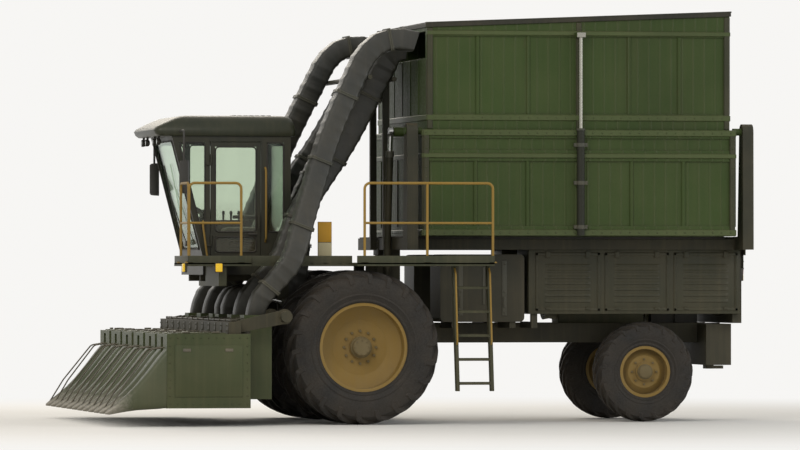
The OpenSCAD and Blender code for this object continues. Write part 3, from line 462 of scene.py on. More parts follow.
def hub_cap(place, radius, outward, long):
    """A cast cap on the hub's outer face, stepped in towards its end plate."""
    cap = bmesh.new()
    knob(cap, [(radius * r, outward * s) for r, s in ((1, -0.004), (1, 0.45 * long), (0.88, 0.55 * long),
                                                      (0.84, 0.88 * long), (0.72, long))], place, 36)
    return cap


for side, word in both_sides:
    disc, hub_face, cap_long = 2 * row_pitch - 0.048, 2 * row_pitch, 0.116
    shapes = [nut_ring(0.205, 0.019, 12, (drive_x, side * disc, drive_r), side),
              nut_ring(0.088, 0.008, 8, (drive_x, side * (hub_face + cap_long), drive_r), side),
              hub_cap((drive_x, side * hub_face, drive_r), 0.136, side, cap_long)]
    piece(f"drive_hub_{word}", shapes, f"drive_wheels_{word}", hub_steel)
    disc, hub_face = steer_y + 0.082, steer_y + 0.13
    shapes = [nut_ring(0.16, 0.015, 8, (steer_x, side * disc, steer_r), side),
              hub_cap((steer_x, side * hub_face, steer_r), 0.098, side, 0.048)]
    piece(f"steered_hub_{word}", shapes, f"steered_wheel_{word}", hub_steel)

# Row unit cabinets
# Six sheet steel boxes with a slot for the plants, with pressed service doors on their tops and sides.
# The green coat is dulled by dust, and the leading edges are polished by the crop.


def block(bm, corner, other, soft=0.004, segments=2):
    """A box between two opposite corners, with its edges rounded."""
    low, high = (Vector([pick(pair) for pair in zip(corner, other)]) for pick in (min, max))
    made = bmesh.ops.create_cube(bm, size=1.0)["verts"]
    bmesh.ops.scale(bm, vec=high - low, verts=made)
    bmesh.ops.translate(bm, vec=(low + high) / 2, verts=made)
    if soft:
        edges = list({e for v in made for e in v.link_edges})
        bmesh.ops.bevel(bm, geom=edges, offset=soft, segments=segments, affect="EDGES", profile=0.6)


unit_green = paint("unit_green", "#2c3b1a", gloss=0.36, dust=0.28, wear=0.9)
drum_steel = paint("drum_steel", "#77736a", gloss=0.34, dust=0.25, wear=0.6)
latch_steel = paint("latch_steel", "#54544e", gloss=0.35, dust=0.5, wear=1.0)
wear_on(unit_green, "unit_cabinets", "suction_boxes")
wear_on(drum_steel, "picking_drums")

low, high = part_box("unit_cabinets")
unit_width, unit_rear, unit_front, unit_floor, unit_top = 0.80, low.x, high.x, low.z, high.z
rows = [(n - 2.5) * row_pitch for n in range(6)]
unit_side = rows[-1] + unit_width / 2
fittings, latches = bmesh.new(), bmesh.new()
for y in rows:
    for part in (-1, 1):
        middle = y + part * 0.205
        block(fittings, (unit_rear + 0.30, middle - 0.15, unit_top - 0.004),
              (unit_front - 0.06, middle + 0.15, unit_top + 0.012), 0.006)
        block(latches, (unit_front - 0.14, middle - 0.035, unit_top + 0.014),
              (unit_front - 0.10, middle + 0.035, unit_top + 0.034), 0.006)
        for x in (unit_rear + 0.38, unit_front - 0.30):
            block(latches, (x, middle + part * 0.13, unit_top + 0.012),
                  (x + 0.09, middle + part * 0.155, unit_top + 0.03), 0.006)
for side in (-1, 1):
    block(fittings, (unit_rear + 0.10, side * (unit_side - 0.004), unit_floor + 0.14),
          (unit_front - 0.10, side * (unit_side + 0.008), unit_top - 0.14), 0.006)
    for x in (unit_rear + 0.22, unit_front - 0.30):
        block(latches, (x, side * (unit_side + 0.004), unit_top - 0.22),
              (x + 0.10, side * (unit_side + 0.015), unit_top - 0.18), 0.006)
piece("unit_doors", fittings, "header", unit_green)
piece("unit_latches", latches, "header", latch_steel)

# Spindles on the picking drums
# Each drum carries columns of tapered, barbed steel spindles that reach across the slot towards the plants.
# They are turned from hardened steel and screwed into upright bars.

spindle_length, drum_radius, drum_offset = 0.052, 0.115, 0.247
shapes = []
for y in rows:
    middle = y - math.copysign(drum_offset, y)
    for x in (2.74, 3.18):
        spindle = spin(cone(5, 0.008, 0.003, spindle_length), math.pi / 2, "Y")
        shift(spindle, (drum_radius + spindle_length / 2 - 0.004, 0, 0))
        column = bmesh.new()
        made = in_rows(spindle, drum_steel, 12, (0, 0, 0.062))
        column.from_mesh(made)
        bpy.data.meshes.remove(made)
        foot = (x, middle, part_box("picking_drums")[0].z + 0.06)
        shapes.append(grow(column, RING, drum_steel, foot, Copies=10, Axis=(0, 0, 1)))
piece("drum_spindles", shapes, "header", drum_steel)

# Stalk lifters
# Pairs of pointed sheet metal noses that part the rows and lift low stalks into the slots.
# Their tips run along the ground and are worn to bright steel.


def lifter_finish():
    f = Finish("lifter_green")
    grain = f.noise(30.0, 4.0)
    worn = f.spread(f.plus(f.axis("X"), f.times(grain, 0.35)), 4.08, 4.40)
    faded = f.spread(f.noise(0.45, 3.0), 0.3, 0.75)
    coat = f.blend(settled_dust(f, 0.30), f.blend(faded, rgb("#263417"), rgb("#32421f")), DUST)
    f.set(Base_Color=f.blend(worn, coat, rgb("#8f8a80")), Metallic=f.times(worn, 0.8),
          Roughness=f.spread(grain, 0.3, 0.7, 0.34, 0.55))
    f.bump(f.noise(90.0, 2.0), 0.2, 0.002)
    return f.material


def polyline(points, closed=False):
    bm = bmesh.new()
    ends = [bm.verts.new(p) for p in points]
    for a, b in zip(ends, ends[1:] + ends[:1] if closed else ends[1:]):
        bm.edges.new((a, b))
    return bm


def bent_pipe(points, radius, finish, bend=0.05, sides=10, closed=False):
    return grow(polyline(points, closed), PIPE, finish, Radius=radius, Bend=bend, Sides=sides)


lifter_green = lifter_finish()
nose_tip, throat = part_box("stalk_lifters")[1].x, 0.17
lifter_mid = (unit_width + throat) / 4
lifter_half = lifter_mid - throat / 2 - 0.008
# Columns: place along the nose, half width, underside, top, how round the section is
nose_stations = [(0.0, 1.0, 0.232, 0.958, 0.10), (0.10, 0.97, 0.222, 0.872, 0.25),
                 (0.28, 0.86, 0.215, 0.700, 0.5), (0.48, 0.68, 0.205, 0.524, 0.8),
                 (0.64, 0.48, 0.190, 0.405, 0.9), (0.80, 0.30, 0.170, 0.306, 1.0),
                 (0.93, 0.16, 0.152, 0.228, 1.0), (1.0, 0.05, 0.158, 0.182, 1.0)]


def nose_ring(share, width, under, top, roundness, y):
    x = unit_front + share * (nose_tip - 0.002 - unit_front)
    a, b, mid = width * lifter_half, (top - under) / 2, (top + under) / 2
    power = 2 / (2 + 8 * (1 - roundness))
    ring = []
    for k in range(20):
        c, s = math.cos(2 * math.pi * k / 20), math.sin(2 * math.pi * k / 20)
        ring.append((x, y + a * math.copysign(abs(c) ** power, c),
                     mid + b * math.copysign(abs(s) ** power, s)))
    return ring


noses, rods = bmesh.new(), []
for y in rows:
    for part in (-1, 1):
        middle = y + part * lifter_mid
        loft(noses, [nose_ring(*station, middle) for station in nose_stations])
        rods.append(bent_pipe([(unit_front - 0.02, middle - part * 0.10, 0.985),
                               (unit_front + 0.16, middle - part * 0.10, 0.955),
                               (unit_front + 0.52, middle - part * 0.03, 0.50),
                               (nose_tip - 0.05, middle, 0.205)], 0.009, drum_steel, 0.08, 8))
piece("lifter_noses", noses, "header", lifter_green, ["stalk_lifters"])
piece("lifter_rods", rods, "header", latch_steel)

# Cab shell and glazing
# A welded cab of dark folded sections, glazed nearly all round, with rubber seals bonded round each pane.
# The panes are lightly tinted, and dust is caught at their lower edges.


def glazing(name, tint):
    f = Finish(name)
    film = f.spread(f.axis("Z"), 2.25, 2.85, 0.14, 0.0)
    clear = f.node("ShaderNodeBsdfTransparent", {"Color": tint})
    mirror = f.node("ShaderNodeBsdfGlossy", {"Color": (0.9, 0.95, 0.93, 1.0), "Roughness": 0.02})
    glint = f.times(f.node("ShaderNodeFresnel", {"IOR": 1.45}).outputs[0], 0.6)
    pane = f.node("ShaderNodeMixShader", {0: glint, 1: clear.outputs[0], 2: mirror.outputs[0]})
    f.set(Base_Color=f.blend(f.noise(6.0), rgb("#7d7562"), rgb("#9c8f75")), Roughness=0.8)
    whole = f.node("ShaderNodeMixShader", {0: film, 1: pane.outputs[0], 2: f.shader.outputs[0]})
    f.feed(f.surface.inputs[0], whole.outputs[0])
    return f.material


def moulded(name, colour, rough):
    f = Finish(name)
    colour = rgb(colour)
    grain = f.noise(70.0, 3.0)
    chalky = f.spread(f.noise(1.6, 4.0), 0.38, 0.74)
    coat = f.blend(chalky, colour, shaded(colour, 1.25, 0.003))
    f.set(Base_Color=f.blend(settled_dust(f, 0.17), coat, DUST),
          Roughness=f.spread(grain, 0.3, 0.7, rough, rough + 0.2))
    f.bump(f.noise(220.0, 2.0), 0.18, 0.002)
    return f.material


wear_on(paint("cab_paint", "#1b2016", gloss=0.32, dust=0.22, wear=0.6), "cab_frame", "cab_door")
wear_on(glazing("cab_glass", (0.84, 0.88, 0.82, 1.0)), "cab_glass", "cab_door_glass")
seal_rubber = moulded("seal_rubber", "#101110", 0.6)
cab_half, screen_foot, screen_lean, cab_top, cab_floor = 0.86, 2.73, 0.40, 3.64, 2.0
pane_low, pane_high = 2.425, 3.555


def screen_at(z):
    """Place of the windscreen's plane at a height."""
    return screen_foot + screen_lean * max(0.0, z - cab_floor - 0.1) / (cab_top - cab_floor - 0.1)


def seal(*corners):
    """A bead of rubber round a pane's corners."""
    return bent_pipe(corners, 0.011, seal_rubber, 0.05, 6, closed=True)


def side_seal(y, rear, front, low=pane_low, high=pane_high):
    return seal((rear, y, low), (front, y, low), (front, y, high), (rear, y, high))


seals = [seal(*[(screen_at(z) + 0.004, y, z)
                for y, z in ((-0.765, 2.205), (0.765, 2.205), (0.765, 3.575), (-0.765, 3.575))])]
for side in (-1, 1):
    y = side * (cab_half + 0.001)
    seals += [seal((2.705, y, pane_low), (screen_at(2.42) - 0.065, y, pane_low),
                   (screen_at(3.56) - 0.075, y, pane_high), (2.705, y, pane_high)),
              side_seal(y, 1.695, 2.625 if side < 0 else 1.905)]
seals.append(seal(*[(1.599, y, z) for y, z in ((-0.695, pane_low), (0.695, pane_low), (0.695, pane_high),
                                               (-0.695, pane_high))]))
piece("cab_seals", seals, "chassis", seal_rubber)
door_y, door_rear, door_front = cab_half + 0.005, 2.048, 2.572
piece("door_seals", [side_seal(door_y, door_rear, door_front, pane_low, 3.502),
                     side_seal(door_y, door_rear, door_front, 2.168, 2.362)], "cab_door", seal_rubber)

# Cab roof
# One moulded shell in body green with a dished middle and a visor that overhangs the windscreen.
# A louvred panel covers the air filters at its rear.

low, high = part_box("cab_roof")
# The roof's body green is darkened nearly to black: painted shade.
roof_green = paint("roof_green", "#1b2313", gloss=0.3, dust=0.20, wear=0.4)
roof_bm, roof_steps, corner = bmesh.new(), [], 0.09
quarters = ((1, 1), (-1, 1), (-1, -1), (1, -1))
# Columns: how far the edge stands in, height, how far the front and the rear stand back
for inset, rise, nose_back, tail_in in ((0.012, 0, 0.06, 0.004), (0, 0.030, 0.02, 0), (0, 0.075, 0, 0),
                                        (0.012, 0.110, 0.025, 0.006), (0.035, 0.170, 0.14, 0.02),
                                        (0.065, 0.215, 0.24, 0.04), (0.11, 0.245, 0.31, 0.075),
                                        (0.18, high.z - low.z, 0.40, 0.14)):
    ring = []
    for turn, (u, v) in enumerate(quarters):
        cx = (high.x - nose_back - corner) if u > 0 else (low.x + tail_in + corner)
        for step in range(5):
            t = math.pi / 2 * (turn + step / 4)
            ring.append((cx + corner * math.cos(t), v * (high.y - inset - corner) + corner * math.sin(t),
                         low.z + rise))
    roof_steps.append(ring)
loft(roof_bm, roof_steps)
louvre = bmesh.new()
block(louvre, (low.x + 0.25, -0.42, high.z - 0.004), (low.x + 0.30, 0.42, high.z + 0.014), 0.005)
piece("cab_roof_shell", [roof_bm, in_rows(louvre, roof_green, 7, (0.075, 0, 0))], "chassis",
      roof_green, ["cab_roof"], smooth=0.9)

# Seat, controls and lining
# A sprung seat with a padded cushion and back in grey woven cloth, beside a moulded control console.
# The cloth has sewn channels, and the seat's frame and pedestal are black moulded plastic and steel.


def woven(name, first, second):
    f = Finish(name)
    warp, weft = (f.node("ShaderNodeTexWave", {"Vector": f.place, "Scale": 110.0, "Distortion": 0.6},
                         bands_direction=way).outputs["Fac"] for way in "YX")
    thread = f.times(warp, weft)
    worn = f.spread(f.noise(6.0, 3.0), 0.35, 0.7)
    f.set(Base_Color=f.blend(f.plus(f.times(thread, 0.6), f.times(worn, 0.4)), rgb(first), rgb(second)),
          Roughness=f.spread(thread, 0.0, 1.0, 0.95, 0.78), Sheen_Weight=0.3)
    f.bump(thread, 0.5, 0.002)
    return f.material


seat_cloth = woven("seat_cloth", "#4c4a44", "#77736a")


def pad(name, low, high, crown, channels, axis):
    """A stuffed pad: its faces swell between the sewn channels, and its sides pull in between the corners."""
    low, high = Vector(low), Vector(high)
    size = high - low
    thin = min(range(3), key=lambda k: size[k])
    bm = bmesh.new()
    bmesh.ops.create_cube(bm, size=1.0)
    bmesh.ops.subdivide_edges(bm, edges=bm.edges, cuts=11, use_grid_fill=True)
    for v in bm.verts:
        p = [2 * v.co[k] for k in range(3)]
        swell = 1.0
        for k in range(3):
            pull = [1 - 0.08 * p[j] ** 2 for j in range(3) if j != k]
            v.co[k] = p[k] * pull[0] * pull[1] * size[k] / 2
            swell *= 1 - p[k] ** 2 if k != thin else 1.0
        groove = abs(math.sin(math.pi * channels * (p[axis] + 1) / 2)) ** 0.5
        v.co[thin] += crown * swell ** 0.6 * (0.45 + 0.55 * groove) * p[thin]
    made = piece(name, shift(bm, (low + high) / 2), "chassis", seat_cloth, smooth=1.2)
    refine = made.modifiers.new("soften", "SUBSURF")
    refine.levels = refine.render_levels = 1
    return made


cushion = pad("seat_cushion", (1.86, -0.25, 2.395), (2.34, 0.25, 2.485), crown=0.012, channels=4, axis=0)
pad("seat_backrest", (1.80, -0.235, 2.52), (1.885, 0.235, 3.06), crown=0.012, channels=5, axis=2)
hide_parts("seat")
seat_frame = bmesh.new()
block(seat_frame, (1.87, -0.24, 2.355), (2.33, 0.24, 2.392), 0.012)
block(seat_frame, (1.784, -0.22, 2.46), (1.806, 0.22, 3.02), 0.009)
for side in (-1, 1):
    block(seat_frame, (1.80, side * 0.27 - 0.028, 2.60), (2.16, side * 0.27 + 0.028, 2.645), 0.015)
    block(seat_frame, (1.79, side * 0.262 - 0.012, 2.40), (1.84, side * 0.262 + 0.012, 2.62), 0.006)
for n in range(6):
    turned(seat_frame, [(0.125, -0.012), (0.150, 0.0), (0.125, 0.012)], (2.10, 0, 2.05 + n * 0.052), 24, "Z")
block(seat_frame, (1.98, -0.13, 2.0), (2.22, 0.13, 2.03), 0.008)
trim_black = moulded("trim_black", "#1c1d1b", 0.5)
wear_on(trim_black, "console", "mirrors")
piece("seat_frame", seat_frame, "chassis", trim_black)
inside = bmesh.new()
block(inside, (1.655, -0.80, 2.001), (2.66, 0.80, 2.012), 0.003)
block(inside, (2.42, -0.53, 2.55), (2.52, -0.37, 2.72), 0.015)
block(inside, (1.92, -0.51, 2.555), (2.36, -0.39, 2.585), 0.012)
block(inside, (2.54, -0.11, 2.60), (2.62, 0.11, 2.70), 0.02)
for n in range(3):
    turned(inside, [(0.001, 0.0), (0.012, 0.0), (0.014, 0.07), (0.02, 0.09), (0.014, 0.12), (0.001, 0.125)],
           (2.05 + n * 0.10, -0.45, 2.58), 12, "Z")
piece("cab_controls", inside, "chassis", trim_black)

# Door handle
# A black moulded pull in a shallow dish by the door's rear edge, with the lock's button beside it.
# It is screwed to the door's frame from the inside.

handle = bmesh.new()
block(handle, (2.035, 0.862, 2.385), (2.15, 0.868, 2.412), 0.002)
for x in (2.045, 2.130):
    block(handle, (x, 0.866, 2.390), (x + 0.015, 0.896, 2.407), 0.004)
block(handle, (2.040, 0.886, 2.386), (2.150, 0.902, 2.411), 0.006)
knob(handle, [(0.012, 0.862), (0.012, 0.873), (0.009, 0.875)], (2.185, 0, 2.40), 16)
piece("door_handle", handle, "cab_door", trim_black)

# Wiper and grab rails of the cab
# A wiper of black steel rod swings on a housing at the foot of the windscreen, and bent yellow pipes,
# welded to the cab beside the door, give a hand hold.

wiper = [bent_pipe([(screen_at(z) + proud, y, z) for y, z in ends], radius, trim_black)
         for proud, radius, ends in ((0.03, 0.007, ((0.02, 2.28), (-0.30, 2.95))),
                                     (0.022, 0.009, ((-0.42, 2.62), (-0.20, 3.28))))]
hub = bmesh.new()
block(hub, (screen_at(2.28) - 0.012, -0.03, 2.245), (screen_at(2.28) + 0.045, 0.07, 2.315), 0.01)
piece("wiper", wiper + [hub], "chassis", trim_black)
rail_yellow = paint("rail_yellow", "#93742a", gloss=0.36, dust=0.35, wear=1.0, edge=0.004)
grab = [bent_pipe(points, 0.013, rail_yellow) for points in (
    [(1.93, 0.868, 2.30), (1.93, 0.925, 2.34), (1.93, 0.925, 3.20), (1.93, 0.868, 3.24)],
    [(2.66, 0.868, 2.02), (2.68, 0.93, 2.06), (2.74, 0.93, 2.50), (2.73, 0.868, 2.56)])]
piece("cab_grab_rails", grab, "chassis", rail_yellow)

# Fittings of the lift beam
# Steel oil pipes run along the beam's top in clamps, with a branch to the gearbox on each picking unit.
# Bolted straps hold the units under the beam.

oil_steel = paint("oil_steel", "#2c2e28", gloss=0.35, dust=0.30, wear=0.7)
beam_back, beam_front, beam_height = 2.56, 2.71, unit_top + 0.15
pipe_height, beam_reach = beam_height + 0.016, 2.60
oil_pipes = [bent_pipe([(x, -beam_reach, pipe_height), (x, beam_reach, pipe_height)], 0.011, oil_steel)
             for x in (beam_back + 0.045, beam_back + 0.085)]
straps, strap_heads = bmesh.new(), []
for n in range(13):
    y = -2.55 + n * 0.425
    block(straps, (beam_back + 0.025, y - 0.015, beam_height - 0.002),
          (beam_back + 0.105, y + 0.015, beam_height + 0.032), 0.004)
for y in rows:
    gearbox_x = beam_back - 0.10
    oil_pipes.append(bent_pipe([(beam_back + 0.045, y, pipe_height), (gearbox_x, y, pipe_height + 0.03),
                                (gearbox_x, y, unit_top + 0.03)], 0.009, oil_steel, 0.03))
    knob(straps, [(0.075, -0.002), (0.075, 0.02), (0.06, 0.035)], (gearbox_x, y, unit_top), 20, "Z")
    for dy in (-0.24, 0.24):
        block(straps, (beam_front - 0.002, y + dy - 0.04, unit_top - 0.004),
              (beam_front + 0.008, y + dy + 0.04, unit_top + 0.13), 0.003)
        strap_heads += [((beam_front + 0.011, y + dy, unit_top + z), (1, 0, 0)) for z in (0.035, 0.10)]
piece("lift_beam_pipes", oil_pipes + [straps], "header", oil_steel)

# Air ducts
# Six black moulded ducts lift the crop from the units past the cab into the basket.
# Each is blow-moulded in lengths with pressed stiffening rings, and bolted together at steel flanges.

duct_black = moulded("duct_black", "#1b1e1b", 0.40)
foot_x, top_x, hood_x = 2.275, 0.85, 0.11
duct_top_y = (0.22, 0.78, 1.40)
box_mid = unit_width / 2 - ((unit_width - throat) / 2 - 0.005) / 2
# Columns: x, share of the way inwards, z, lean in degrees, depth, width
inner_head = [(top_x - 0.412, 1, 4.45, 26, 0.30, 0.30), (0.372, 1, 4.56, 38, 0.30, 0.30),
              (0.290, 1, 4.66, 62, 0.28, 0.30), (0.205, 1, 4.72, 88, 0.26, 0.30),
              (hood_x, 1, 4.73, 98, 0.24, 0.30)]
low_foot = [(foot_x, 0, 1.30, 0, 0.23, 0.20), (foot_x, 0, 1.43, 0, 0.23, 0.22),
            (2.225, 0, 1.57, 40, 0.23, 0.24), (2.08, 0, 1.64, 82, 0.23, 0.25),
            (1.62, 0.1, 1.665, 80, 0.23, 0.25), (1.44, 0.1, 1.78, 40, 0.24, 0.25),
            (1.40, 0.15, 2.0, 5, 0.25, 0.26), (1.32, 0.4, 2.70, 12, 0.28, 0.28),
            (0.87, 0.8, 3.60, 26, 0.30, 0.30)]
high_foot = [(foot_x, 0, 1.30, 0, 0.23, 0.20), (foot_x, 0, 1.43, 0, 0.23, 0.24),
             (2.19, 0, 1.62, 32, 0.24, 0.26), (1.96, 0, 1.88, 41, 0.25, 0.28)]
middle_rise = [(1.78, 0.04, 2.11, 28, 0.26, 0.29), (1.50, 0.35, 2.70, 26, 0.28, 0.30),
               (0.90, 0.8, 3.60, 28, 0.30, 0.30)]
outer_rise = [(1.80, 0.04, 2.11, 28, 0.26, 0.30), (1.59, 0.35, 2.70, 20, 0.26, 0.33),
              (1.23, 0.8, 3.65, 23, 0.26, 0.34), (top_x, 1, 4.45, 26, 0.26, 0.34),
              (0.73, 1, 4.66, 38, 0.26, 0.34), (0.56, 1, 4.81, 64, 0.26, 0.34),
              (0.34, 1, 4.86, 90, 0.26, 0.34), (hood_x, 1, 4.83, 108, 0.26, 0.34)]
duct_paths = [low_foot + inner_head, high_foot + middle_rise + inner_head, high_foot + outer_rise]


def duct_ring(station, proud=0.0):
    """A rounded rectangle square to the duct's path at one station."""
    x, y, z, lean, depth, width = station
    a, b, c = depth / 2 + proud, width / 2 + proud, 0.18 * depth
    lean, ring = math.radians(lean), []
    for turn, (u, v) in enumerate(quarters):
        for step in range(4):
            t = math.pi / 2 * (turn + step / 3)
            p, q = u * (a - c) + c * math.cos(t), v * (b - c) + c * math.sin(t)
            ring.append((x + p * math.cos(lean), y + q, z + p * math.sin(lean)))
    return ring


def smoothed(stations, between):
    """More stations on a curve through the given ones."""
    found = []
    for i, (p1, p2) in enumerate(zip(stations, stations[1:])):
        p0, p3 = stations[max(i - 1, 0)], stations[min(i + 2, len(stations) - 1)]
        for t in [k / between for k in range(between)]:
            found.append(tuple(
                0.5 * (2 * b + (c - a) * t + (2 * a - 5 * b + 4 * c - d) * t * t
                       + (3 * b - a - 3 * c + d) * t ** 3) for a, b, c, d in zip(p0, p1, p2, p3)))
    return found + [stations[-1]]


def spaced(path, step):
    """Stations at even distances along a path."""
    found, left = [path[0]], step
    for a, b in zip(path, path[1:]):
        gap = (Vector(b[:3]) - Vector(a[:3])).length
        while left <= gap:
            found.append(tuple(p + (q - p) * left / gap for p, q in zip(a, b)))
            left += step
        left -= gap
    return found + [path[-1]]


def heads_tree():
    """A bolt or rivet head on every edge of a mesh, pointing the way the edge does."""
    tree = Growth("heads_on_edges", Radius="Float", Height="Float", Sides="Int")
    given, ends = tree.given, tree.node("GeometryNodeInputMeshEdgeVertices").outputs
    way = tree.node("ShaderNodeVectorMath", {0: ends["Position 2"], 1: ends["Position 1"]},
                    operation="SUBTRACT")
    spots = tree.node("GeometryNodeMeshToPoints", {0: given["Geometry"]}, mode="EDGES")
    inputs = {"Geometry": given["Geometry"], "Value": way.outputs[0], "Index": tree.index}
    here = tree.node("GeometryNodeSampleIndex", inputs, data_type="FLOAT_VECTOR", domain="EDGE")
    turn = tree.node("FunctionNodeAlignRotationToVector", {"Vector": here.outputs[0]}, axis="Z")
    head = tree.node("GeometryNodeMeshCone", {"Vertices": given["Sides"], "Depth": given["Height"],
                                              "Radius Top": tree.times(given["Radius"], 0.72),
                                              "Radius Bottom": given["Radius"]})
    return tree.copies(spots.outputs[0], head.outputs[0], Rotation=turn.outputs[0])


HEADS = heads_tree()


def heads(spots, radius, height, finish):
    """Bolt or rivet heads at pairs of a place and the way they face."""
    bm = bmesh.new()
    for place, out in spots:
        place, out = Vector(place), Vector(out).normalized() * 0.001
        bm.edges.new((bm.verts.new(place - out), bm.verts.new(place + out)))
    return grow(bm, HEADS, finish, Radius=radius, Height=height, Sides=6)


ring_step, ring_every, flange_every = 0.026, 6, 36
shells, bands, bolts = bmesh.new(), bmesh.new(), []
for side in (-1, 1):
    for k, stations in enumerate(duct_paths):
        foot_y, top_y = side * ((k + 0.5) * row_pitch - box_mid), side * duct_top_y[k]
        path = [(x, foot_y + share * (top_y - foot_y), *rest) for x, share, *rest in stations]
        fine = spaced(smoothed(path, 6), ring_step)
        ringed = range(8 if k else 4, len(fine) - 6)
        loft(shells, [duct_ring(s, 0.006 if i in ringed and i % ring_every < 2 else 0.0)
                      for i, s in enumerate(fine)])
        for index in range(26 - 4 * k, len(fine) - 10, flange_every):
            here = fine[index]
            along = (Vector(fine[index + 1][:3]) - Vector(here[:3])).normalized()
            for middle in (-0.011, 0.011):
                ends = [tuple(Vector(here[:3]) + along * (middle + reach)) + here[3:]
                        for reach in (-0.009, 0.009)]
                loft(bands, [duct_ring(ends[0]), duct_ring(ends[0], 0.020), duct_ring(ends[1], 0.020),
                             duct_ring(ends[1])])
            bolts += [(Vector(p) + along * 0.021, along) for p in duct_ring(here, 0.012)[::2]]
piece("duct_shells", shells, "chassis", duct_black, ["air_ducts"], smooth=0.5)
band_steel = paint("band_steel", "#3b3e37", gloss=0.4, dust=0.35, wear=0.8)
piece("duct_flanges", [bands, heads(bolts, 0.008, 0.008, band_steel)], "chassis", band_steel)

# Rivets of the picking units
# Button heads along the folded edges of the outer cabinets, where the side sheets are held.

unit_heads, hem = [], 0.04
for side in (-1, 1):
    edge_rows = [(unit_rear + hem + n * (unit_front - unit_rear - 2 * hem) / 10, z)
                 for n in range(11) for z in (unit_floor + 0.05, unit_top - 0.05)]
    edge_rows += [(x, unit_floor + 0.05 + n * (unit_top - unit_floor - 0.10) / 8)
                  for n in range(1, 8) for x in (unit_rear + hem, unit_front - hem)]
    unit_heads += [((x, side * (unit_side + 0.002), z), (0, side, 0)) for x, z in edge_rows]
rivets = [heads(unit_heads, 0.008, 0.006, unit_green), heads(strap_heads, 0.010, 0.008, oil_steel)]
piece("unit_rivets", rivets, "header", unit_green)

# Crop basket
# Two telescoping boxes of thin green sheet on a frame of folded ribs, the upper one raised on side cylinders.
# The panels are creased into shallow upright flutes, riveted to the ribs and faded by the sun.

basket_half, upper_half = 1.70, 1.64
basket_rear, basket_front, upper_rear, upper_front = -4.0, 0.05, -3.94, -0.01
basket_floor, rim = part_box("basket_lower")[0].z, 3.72
section_middle = (basket_rear + basket_front) / 2
raise_y, raise_radius = 1.745, 0.044
top_front, top_rise = 5.01, 0.16


def fluted(name, column, metal):
    """Panel paint over shallow upright creases; what stands outside the walls is a cylinder's steel."""
    f = Finish(name)
    # The panel green is the real paint darkened part way as painted shade.
    colour, pitch = rgb("#2f4117"), 0.145
    faded = f.spread(f.noise(0.5, 3.0), 0.3, 0.72)
    grain = f.noise(42.0, 4.0)
    rust = f.spread(f.noise(2.2, 5.0, f.stretched(3, 3, 1.2)), 0.68, 0.80)
    along = f.node("ShaderNodeSeparateXYZ", {0: f.place}).outputs
    run = f.times(f.plus(along["X"], along["Y"]), 2 * math.pi / pitch)
    crease = f.spread(f.math("SINE", run), 0.80, 0.97)
    dusty = f.plus(settled_dust(f, 0.14), f.times(crease, 0.04))
    rubbed, soft = f.rubbed_edges(0.012, grain, 0.7)
    coat = f.blend(rubbed, f.blend(faded, shaded(colour, 0.84), shaded(colour, 1.14, 0.002)), PRIMER)
    coat = f.blend(f.times(rust, 0.22), coat, rgb("#4a3320"))
    outside = f.math("GREATER_THAN", f.math("ABSOLUTE", along["Y"]), basket_half + 0.004)
    reach = f.math("ABSOLUTE", f.plus(along["X"], -section_middle))
    outside = f.times(outside, f.math("LESS_THAN", reach, 0.055))
    rough = f.math("SUBTRACT", f.spread(grain, 0.3, 0.7, 0.42, 0.66), f.times(outside, 0.3 * metal))
    f.set(Base_Color=f.blend(outside, f.blend(dusty, coat, DUST), rgb(column)), Roughness=rough,
          Specular_IOR_Level=0.25)
    if metal:
        f.set(Metallic=f.times(outside, metal))
    dents = f.plus(crease, f.times(f.noise(1.3, 2.0), 0.6))
    f.bump(f.times(dents, f.math("SUBTRACT", 1.0, outside)), 0.55, 0.010, soft)
    return f.material


panel_green = fluted("panel_green", "#24251c", 0.0)
upper_green = fluted("upper_green", "#9c9a90", 1.0)
# The rails' green is lighter, as painted light, and the posts' green darker, as painted shade: lit and shaded
# tones of the frame's one paint.
rail_green = paint("rail_green", "#3f4c26", gloss=0.38, dust=0.18, wear=0.9)
post_green = paint("post_green", "#292d1a", gloss=0.40, dust=0.26, wear=0.9)
roof_finish = paint("roof_dark", "#191c14", gloss=0.5, dust=0.24, wear=0.5)
wear_on(panel_green, "basket_lower")
wear_on(upper_green, "basket_upper")
wear_on(roof_finish, "basket_roof", "basket_door")


def top_at(x):
    """Height of the upper section's top at a place along it."""
    return top_front + top_rise * (upper_front - x) / (upper_front - upper_rear)


def hat_rib(bm, start, end, across, out, proud, foot=0.010):
    """A folded hat rib: two points on the wall, the way across its foot, and the way that it stands out."""
    across, out = Vector(across), Vector(out)
    inset = across.normalized() * foot
    loft(bm, [[p, p + inset + out * proud, p + across - inset + out * proud, p + across]
              for p in (Vector(start), Vector(end))])


